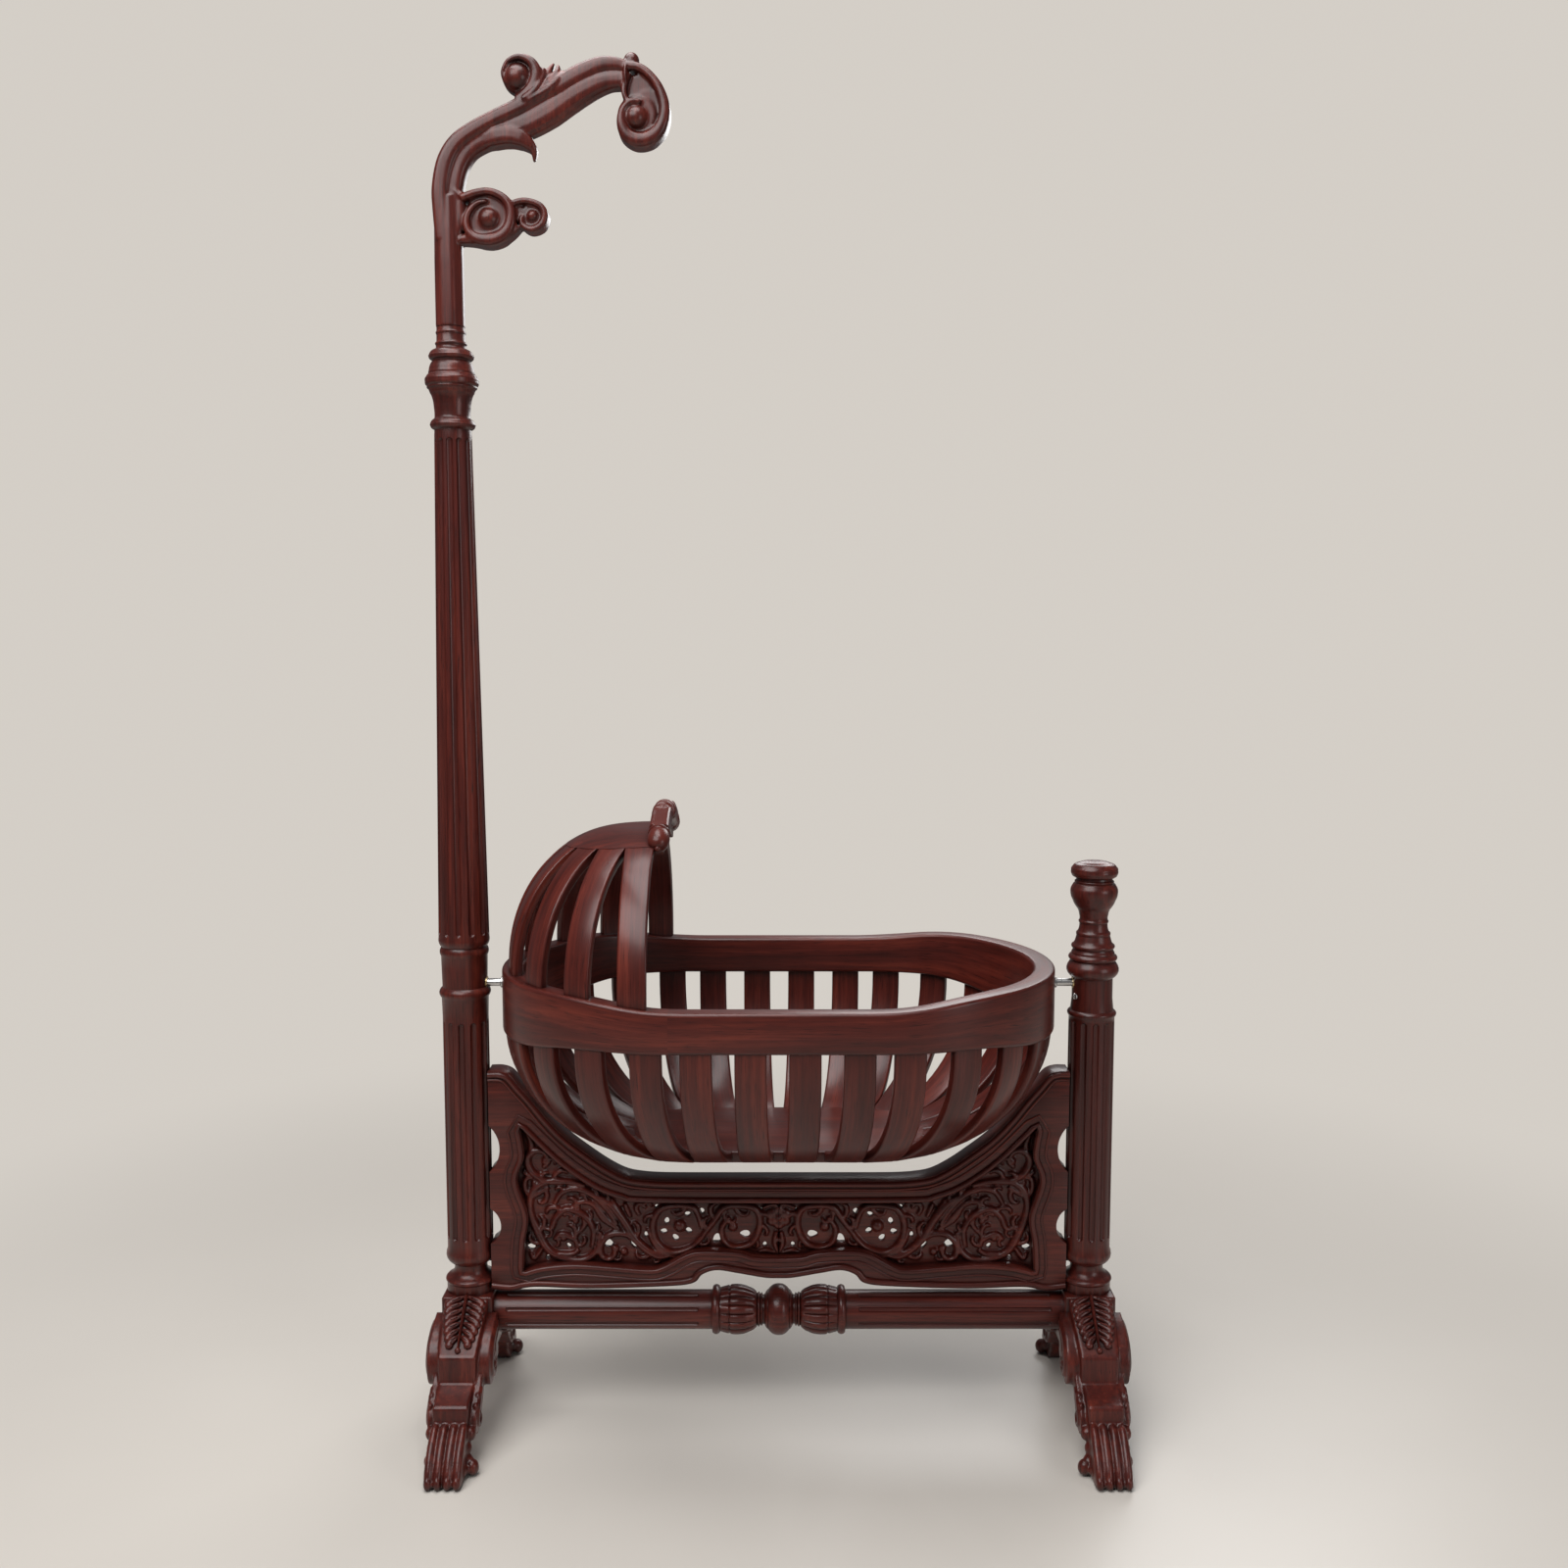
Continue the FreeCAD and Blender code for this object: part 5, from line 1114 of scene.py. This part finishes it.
# Pierced scrollwork: carved lines of the left half in millimetres (X, Z), with their widths and rise
scrollwork = {
    "thick": 0.007, "fuller": 1.12, "taller": 1.25, "leafPitch": 8.5, "leafSizes": (16.0, 12.5, 9.5),
    "leafShape": [(0.12, 0.0), (0.58, 0.20), (0.92, 0.66), (0.84, 1.10), (0.56, 1.20)],
    "leafWidths": [6.0, 8.0, 7.6, 5.6, 2.6],
    "leafRise": 6.5, "holeGap": 2.5, "stemGap": 6.9, "leafGap": 6.8, "holeTurn": 0.9, "voxel": 0.00145,
    # piercings: place and radius, each turned further than the one before
    "holes": [((-357, 248), 6), ((-303, 250), 4), ((-333, 232), 4), ((-272, 236), 5.5), ((-245, 253), 8),
              ((-208, 253), 7), ((-190, 267), 5.5), ((-166, 271), 5), ((-149, 262), 5.5), ((-161, 287), 5),
              ((-131, 297), 4.5), ((-129, 272), 5), ((-174, 305), 6), ((-89, 260), 8), ((-49, 267), 7.5),
              ((-298, 309), 4.5), ((-20, 252), 4), ((-22, 306), 4.5), ((-352, 290), 4), ((-227, 304), 5),
              ((-112, 300), 5.5)],
    # line, widths and rise
    "stems": [
        ([(-152, 238), (-176, 236), (-205, 259), (-224, 290), (-246, 316), (-268, 327)], (7, 11, 12, 10, 6),
         7.5),
        ([(-151, 239), (-181, 242), (-203, 256), (-219, 268), (-241, 268), (-256, 253), (-255, 236),
          (-244, 231), (-236, 239), (-238, 251)], (6, 9, 10, 9, 8, 6), 7),
        ([(-257, 271), (-260, 248), (-277, 231), (-305, 231), (-332, 245), (-348, 276), (-358, 305),
          (-352, 333), (-330, 347), (-300, 345), (-278, 340)], (7, 10, 11, 12, 11, 9, 6), 7),
        ([(-269, 248), (-266, 271), (-274, 290), (-290, 302), (-306, 305), (-320, 293), (-328, 276),
          (-342, 279)], (6, 9, 10, 9, 8, 5), 7),
        ([(-290, 268), (-279, 282), (-284, 296), (-301, 290)], (5, 8, 5), 5),
        ([(-291, 248), (-293, 259), (-312, 268), (-323, 259)], (5, 9, 5), 5.5),
        ([(-288, 245), (-299, 238), (-321, 240)], (5, 8, 5), 6),
        ([(-300, 345), (-333, 347), (-354, 361), (-360, 381), (-348, 392), (-335, 389), (-330, 375),
          (-338, 367)], (6, 10, 11, 9, 7, 5), 7),
        ([(-358, 381), (-354, 403), (-364, 423)], (8, 9, 4), 5.5),
        ([(-330, 338), (-355, 324), (-364, 336), (-362, 350), (-350, 352)], (6, 8, 5), 5.5),
        ([(-110, 276), (-120, 305), (-142, 311), (-170, 305), (-181, 282), (-175, 256), (-154, 241),
          (-126, 248), (-107, 268)], (6, 9, 9, 9, 9, 9, 6), 7),
        ([(-110, 265), (-93, 288), (-79, 307), (-57, 311), (-33, 305), (-27, 282), (-38, 256), (-60, 248),
          (-77, 256), (-82, 276), (-71, 293)], (6, 9, 10, 9, 9, 9, 8, 6), 7),
        ([(-110, 248), (-132, 236), (-154, 236), (-175, 248), (-189, 276)], (5, 8, 9, 5), 6),
        ([(-230, 276), (-252, 290), (-268, 316)], (5, 8, 5), 5),
        ([(-233, 282), (-246, 305), (-268, 327), (-292, 336), (-311, 330), (-322, 313)], (6, 9, 10, 8, 5),
         6.5),
        ([(-235, 276), (-252, 296), (-268, 313), (-284, 316), (-298, 307)], (5, 8, 8, 5), 5.5),
        ([(-219, 288), (-232, 305), (-240, 320)], (6, 9, 4), 6),
        ([(-213, 293), (-219, 307), (-221, 314)], (5, 7, 4), 5),
        ([(-200, 296), (-205, 307), (-199, 314), (-191, 307)], (5, 7, 5), 5),
        ([(-340, 248), (-352, 232), (-357, 240)], (5, 7, 4), 5),
        ([(0, 238), (-6, 256), (-3, 272)], (5, 7, 5), 6),
        ([(-4, 240), (-18, 244), (-30, 241)], (5, 7, 4), 5),
        ([(-3, 312), (-14, 311), (-24, 306)], (5, 6, 4), 5),
    ],
    # round eyes of the scrolls: place, radius and rise
    "eyes": [((-223, 242), 6, 7.5), ((-142, 280), 9, 8.5), ((-235, 246), 6, 8), ((-334, 376), 6, 7.5),
             ((-292, 288), 5, 7), ((-66, 279), 7, 7.5), ((-350, 344), 5, 6.5), ((-310, 262), 5, 6.5)],
    "flower": (0, 293), "petals": 6, "petalRing": 11.0, "petalSize": 7.5, "petalRise": 7.0,
    "bossSize": 6.0, "bossRise": 9.5,
}


def isInside(spot, outline):
    # counts how often a level line from the spot crosses the outline
    inside = False
    for before, after in zip(outline, outline[1:] + outline[:1]):
        if (before.y > spot.y) != (after.y > spot.y):
            if spot.x < before.x + (after.x - before.x) * (spot.y - before.y) / (after.y - before.y):
                inside = not inside
    return inside


def isFree(spots, paths, taken, bounds):
    # a leaf needs room inside the opening, off the piercings, the stems and the leaves made before
    def clear(some, others, gap):
        return all((spot - other).length > gap for spot in some for other in others)

    inside = all(isInside(spot * mm, bounds) for spot in spots)
    offHoles = all(clear(spots, [Vector((*place, 0))], radius + scrollwork["holeGap"])
                   for place, radius in scrollwork["holes"])
    offStems = all(clear(spots[2:], line[::2], scrollwork["stemGap"]) for line in paths)
    return inside and offHoles and offStems and clear(spots[1:], taken, scrollwork["leafGap"])


def stemLeaves(path, paths, taken, bounds):
    # curled leaves on both sides of a stem, as large as they find room for
    leaves = []
    for turned in (1, -1):
        travelled = scrollwork["leafPitch"]
        for step in range(2, len(path) - 3):
            travelled += (path[step] - path[step - 1]).length
            if travelled < scrollwork["leafPitch"]:
                continue
            way = wayAt(path, step)
            bend = (path[step + 2] - path[step]).cross(path[step] - path[step - 2]).z
            side = Vector((way.y, -way.x, 0)) * turned * (-1 if bend < 0 else 1)
            for size in scrollwork["leafSizes"]:
                spots = [path[step] + side * out * size + way * along * size
                         for out, along in scrollwork["leafShape"]]
                if isFree(spots, paths, taken, bounds):
                    leaves.append((spots, size))
                    taken += spots[1:]
                    travelled = 0.0
                    break
    return leaves


def piercing(across, up, radius, lean):
    # a drop-shaped hole that is turned by its lean
    hole = []
    for step in range(16):
        turn = math.tau * step / 16
        long = radius * math.cos(turn)
        short = radius * 0.68 * math.sin(turn) * (1 - 0.35 * math.cos(turn))
        hole.append((long * math.cos(lean) - short * math.sin(lean) - across,
                     long * math.sin(lean) + short * math.cos(lean) + up))
    return inMetres(hole)


def makeScrollwork():
    thick = scrollwork["thick"]
    bounds = offsetLine(openOutline, 0.003, True)
    reach = [point for point in offsetLine(openOutline, -0.0015, True) if point.x > 0.0004]
    # the right half of the opening, closed along the middle line
    outline = [Vector((0, reach[0].y, 0))] + reach + [Vector((0, reach[-1].y, 0))]
    holes = [piercing(*place, radius, index * scrollwork["holeTurn"])
             for index, (place, radius) in enumerate(scrollwork["holes"])]
    ground = plate(outline, holes, thick, -thick / 2)
    paths = [smoothLine(line, 8) for line, _, _ in scrollwork["stems"]]
    leaves = []
    taken = [Vector((*place, 0)) for place, _, _ in scrollwork["eyes"]]
    for path in paths:
        leaves += stemLeaves(path, paths, taken, bounds)
    domes = [(across, up, radius, rise) for (across, up), radius, rise in scrollwork["eyes"]]
    across, up = scrollwork["flower"]
    for number in range(scrollwork["petals"]):
        turn = math.tau * (number + 0.5) / scrollwork["petals"]
        domes.append((across + scrollwork["petalRing"] * math.cos(turn),
                      up + scrollwork["petalRing"] * math.sin(turn),
                      scrollwork["petalSize"], scrollwork["petalRise"]))
    domes.append((across, up, scrollwork["bossSize"], scrollwork["bossRise"]))
    for face in (-1, 1):
        onPlate = onBoard(thick - 0.0006, face, -1)
        for line, widths, rise in scrollwork["stems"]:
            widths = [width * scrollwork["fuller"] * mm for width in widths]
            addTo(ground, ridge(inMetres(line), widths, rise * scrollwork["taller"] * mm, onPlate, 6, 5))
        for spots, size in leaves:
            share = size / scrollwork["leafSizes"][0] * mm
            widths = [width * share for width in scrollwork["leafWidths"]]
            line = [spot * mm for spot in spots]
            addTo(ground, ridge(line, widths, scrollwork["leafRise"] * mm, onPlate, 5, 3))
        for sizes in domes:
            addTo(ground, dome(*[size * mm for size in sizes], onPlate))
    # the flower lies on the middle line, so each half keeps its own side of it
    geometry = list(ground.verts) + list(ground.edges) + list(ground.faces)
    bmesh.ops.bisect_plane(ground, geom=geometry, dist=1e-6, plane_co=(0, 0, 0), plane_no=(1, 0, 0),
                           clear_inner=True)
    bmesh.ops.holes_fill(ground, edges=[edge for edge in ground.edges if edge.is_boundary], sides=0)
    right = carved(ground, scrollwork["voxel"], 1)
    left = right.copy()
    bmesh.ops.scale(left, vec=(-1, 1, 1), verts=left.verts)
    bmesh.ops.reverse_faces(left, faces=left.faces)
    finishPiece("scrollworkRight", right, woodX, "stand", "panel_scrollwork", sharp=75)
    finishPiece("scrollworkLeft", left, woodX, "stand", "panel_scrollwork", sharp=75)


makeScrollwork()
print("scrollwork made")


# Canopy crook: places in millimetres from the tall post's middle line (X) and the floor (Z)
crook = {
    "foot": 1541.0, "stemTop": 1712.0, "stem": 19.1,
    # line, widths in the crook's own plane, depths across it, roundness of the corners
    "bars": [
        ([(-4, 1655), (-6.5, 1694), (-7, 1722), (0, 1755), (14, 1779), (35, 1795), (65, 1811), (98, 1826),
          (130, 1843), (150, 1852), (178, 1868), (206, 1880), (226, 1882), (241, 1879)],
         (24, 25, 25, 25, 23, 22, 21, 22, 23, 25, 26, 23, 19, 15),
         (37, 37, 37, 38, 38, 38, 38, 38, 36, 34, 32, 30, 28), 0.34),
        ([(6, 1660), (6, 1690), (10, 1725), (18, 1753), (32, 1774), (58, 1790), (88, 1800), (112, 1808),
          (140, 1823), (168, 1841), (198, 1856), (220, 1862), (238, 1862)],
         (22, 26, 26, 25, 27, 33, 38, 40, 42, 40, 33, 26, 22),
         (30, 30, 29, 28, 28, 29, 30, 31, 31, 31, 30, 28, 27), 0.36),
        ([(46, 1783), (66, 1789), (85, 1791), (102, 1786), (114, 1777), (118, 1768), (117, 1758)],
         (22, 27, 27, 22, 14, 8, 2), (26, 34, 35, 33, 26, 16, 6), 0.30),
        ([(100, 1832), (117, 1848), (124, 1866), (118, 1882), (102, 1889), (87, 1884), (79, 1870),
          (82, 1856)], (22, 19, 16, 12, 8, 6, 5, 4), (36, 38, 40, 40, 38, 36, 32, 28), 0.40),
        ([(122, 1840), (133, 1860), (139, 1873), (146, 1885)], (14, 14, 9, 3), (30, 26, 18, 8), 0.40),
        ([(132, 1845), (145, 1862), (151, 1873), (152, 1882)], (13, 11, 7, 3), (40, 34, 26, 12), 0.40),
        ([(112, 1832), (140, 1848), (154, 1862), (160, 1874)], (7, 10, 9, 3), (42, 42, 36, 18), 0.40),
        ([(106, 1834), (122, 1846), (131, 1862), (133, 1877)], (6, 9, 8, 3), (42, 43, 36, 22), 0.40),
        ([(20, 1708), (37, 1714), (56, 1717), (72, 1712), (83, 1702), (87, 1688), (84, 1671), (73, 1659),
          (57, 1654), (40, 1656), (29, 1666), (27, 1681), (33, 1694), (43, 1702), (55, 1704)],
         (10, 10, 9, 10, 11, 13, 15, 17, 17, 14, 10, 8, 7, 6, 4),
         (36, 38, 38, 38, 38, 38, 38, 38, 38, 38, 37, 36, 35, 34, 32), 0.40),
        ([(6, 1655), (13, 1680), (13, 1700), (10, 1722)], (20, 26, 26, 16), (26, 28, 28, 26), 0.30),
        ([(84, 1700), (100, 1705), (114, 1704), (127, 1698), (132, 1686), (126, 1673), (112, 1668),
          (101, 1675), (101, 1686)], (8, 8, 8, 8, 9, 9, 8, 6, 4), (32, 32, 32, 32, 32, 31, 30, 28, 26),
         0.40),
        ([(10, 1653), (24, 1656), (42, 1655), (62, 1653), (82, 1662), (96, 1673)], (8, 13, 15, 13, 12, 8),
         (24, 30, 32, 32, 30, 26), 0.40),
        ([(4, 1730), (12, 1718), (22, 1711), (36, 1710)], (10, 12, 12, 8), (26, 30, 30, 30), 0.40),
        ([(240, 1879), (260, 1877), (277, 1864), (289, 1845), (294, 1822), (288, 1800), (274, 1787),
          (257, 1784), (243, 1791), (236, 1806), (238, 1822), (249, 1833), (262, 1832)],
         (11, 11, 11, 12, 14, 17, 20, 21, 18, 13, 9, 7, 5),
         (28, 30, 32, 34, 36, 36, 36, 36, 36, 36, 35, 34, 32), 0.40),
        ([(246, 1870), (241, 1856), (240, 1843), (246, 1832), (256, 1830)], (9, 8, 7, 6, 5),
         (26, 30, 32, 32, 30), 0.40),
    ],
    # flat backing discs and round bosses: place, radius and depth
    "discs": [(57, 1685, 33, 22), (115, 1687, 17, 20), (93, 1690, 13, 20), (101, 1867, 24, 22),
              (257, 1817, 27, 18), (263, 1846, 26, 14), (271, 1831, 21, 15)],
    "bosses": [(56, 1683, 17, 38), (115, 1686, 10, 32), (98, 1865, 20, 48), (255, 1814, 17.5, 42)],
    "neck": (242, 1868, 4.5, 19, 22), "knob": (249, 1887, 11, 11.5, 12.5), "voxel": 0.00135,
}


def bent(line, widths, depths, roundness):
    # a carved bar bent in the upright plane through the post
    path = smoothLine([(across * mm, 0, up * mm) for across, up in line])

    def pointAt(step, entry):
        way = wayAt(path, step)
        share = step / (len(path) - 1)
        width = between(widths, share) * mm
        across, thick = barCorner(entry, between(depths, share) * mm, width, width * roundness)
        return path[step] + Vector((0, across, 0)) + Vector((way.z, 0, -way.x)) * thick

    return sweep(barSection(), len(path), pointAt)


def crookDisc(across, up, radius, deep):
    half = deep / 2
    rows = [(0, -half), (radius - 3, -half), (radius, 3 - half),
            (radius, half - 3), (radius - 3, half), (0, half)]
    bm = spinProfile(rows, 48, mm)
    for vert in bm.verts:
        vert.co = Vector((across * mm + vert.co.x, vert.co.z, up * mm - vert.co.y))
    return bm


def makeCrook():
    # the stem is eight-sided with its corners cut
    corners = [math.tau * (side + shift) / 8 for side in range(8) for shift in (0.36, 0.64)]
    levels = [crook["foot"] + (crook["stemTop"] - crook["foot"]) * step / 4 for step in range(5)]

    def stemPoint(step, entry):
        radius = crook["stem"] / math.cos(math.tau * 0.36 / 8) * (1 - 0.09 * (step / 4) ** 4)
        return Vector((radius * math.cos(entry), radius * math.sin(entry), levels[step])) * mm

    bm = sweep(corners, len(levels), stemPoint)
    for bar in crook["bars"]:
        addTo(bm, bent(*bar))
    for disc in crook["discs"]:
        addTo(bm, crookDisc(*disc))
    for across, up, radius, deep in crook["bosses"]:
        addTo(bm, ball((across * mm, 0, up * mm), (radius * mm, deep / 2 * mm, radius * mm), 40, 24))
    for across, up, radius, deep, tall in (crook["neck"], crook["knob"]):
        addTo(bm, ball((across * mm, 0, up * mm), (radius * mm, deep * mm, tall * mm)))
    bm = carved(bm, crook["voxel"], 4)
    bmesh.ops.translate(bm, vec=(-cradle["halfSpacing"], 0, 0), verts=bm.verts)
    finishPiece("canopyCrook", bm, woodZ, "stand", sharp=60)


makeCrook()
print("crook made")


# Camera, floor, backdrop and lights
stage = {
    "camera": (0.0076, -2.117, 1.137), "tiltDown": 5.89, "lens": 34.9,
    "backdrop": (0.66, 0.62, 0.57, 1.0), "fade": (0.75, 2.1), "floorDark": (0.56, 0.52, 0.47),
    "floorPale": (0.62, 0.58, 0.53), "worldTint": (0.75, 0.75, 0.78, 1), "worldStrength": 0.15,
    # name, place, the point it aims at, width, height and power
    "lights": [
        ("keyLight", (-1.35, -2.0, 3.1), (0, 0, 0.75), 2.8, 1.7, 92),
        ("fillLight", (2.5, -2.2, 1.3), (0, 0, 0.5), 1.2, 1.6, 20),
        ("topLight", (-0.4, -0.2, 3.3), (0, 0, 0.6), 2.3, 1.4, 66),
        ("rimLight", (1.0, 2.6, 2.3), (0, 0, 0.8), 2.0, 1.2, 34),
    ],
}


def paleFloor():
    # pale and slightly glossy near the cradle, fading into the backdrop further out
    paint = Paint(bpy.data.materials.new("paleFloor"))
    spot = paint.node("ShaderNodeTexCoord", out=3)
    clouds = paint.node("ShaderNodeTexNoise", None, {"Vector": spot, "Scale": 1.5, "Detail": 4.0})
    near = paint.node("ShaderNodeBsdfPrincipled", None, {
        "Base Color": paint.mix(clouds, stage["floorDark"], stage["floorPale"]), "Roughness": 0.35})
    far = paint.node("ShaderNodeEmission", None, {"Color": stage["backdrop"], "Strength": 1.0})
    distance = paint.node("ShaderNodeVectorMath", {"operation": "LENGTH"}, [spot], 1)
    fade = paint.ranged(distance, *stage["fade"], interpolation_type="SMOOTHSTEP")
    seen = paint.node("ShaderNodeLightPath")
    return paint.finish(paint.node("ShaderNodeMixShader", None, [fade * seen, near, far]))


def makeStage():
    camera = addObject("camera", bpy.data.cameras.new("camera"))
    camera.location = stage["camera"]
    camera.rotation_euler = (math.radians(90 - stage["tiltDown"]), 0, 0)
    camera.data.sensor_width = 36.0
    camera.data.lens = stage["lens"]
    scene.camera = camera
    bm = bmesh.new()
    bmesh.ops.create_grid(bm, x_segments=4, y_segments=4, size=6.0)
    floor = addObject("floor", toMesh(bm, "floor"))
    floor.data.materials.append(paleFloor())
    # a pale backdrop for the camera, and a softer grey light on the object
    paint = Paint(bpy.data.worlds.new("studio"))
    seen = paint.node("ShaderNodeBackground", None, {"Color": stage["backdrop"], "Strength": 1.0})
    lit = paint.node("ShaderNodeBackground", None, {
        "Color": stage["worldTint"], "Strength": stage["worldStrength"]})
    mixed = paint.node("ShaderNodeMixShader", None, [paint.node("ShaderNodeLightPath"), lit, seen])
    scene.world = paint.finish(mixed, "ShaderNodeOutputWorld")
    for name, place, aim, width, height, power in stage["lights"]:
        light = bpy.data.lights.new(name, "AREA")
        light.shape = "RECTANGLE"
        light.size = width
        light.size_y = height
        light.energy = power
        lamp = addObject(name, light)
        lamp.location = place
        lamp.rotation_euler = (Vector(aim) - Vector(place)).to_track_quat("-Z", "Y").to_euler()
    scene.view_settings.view_transform = "Standard"


makeStage()
print("stage made")
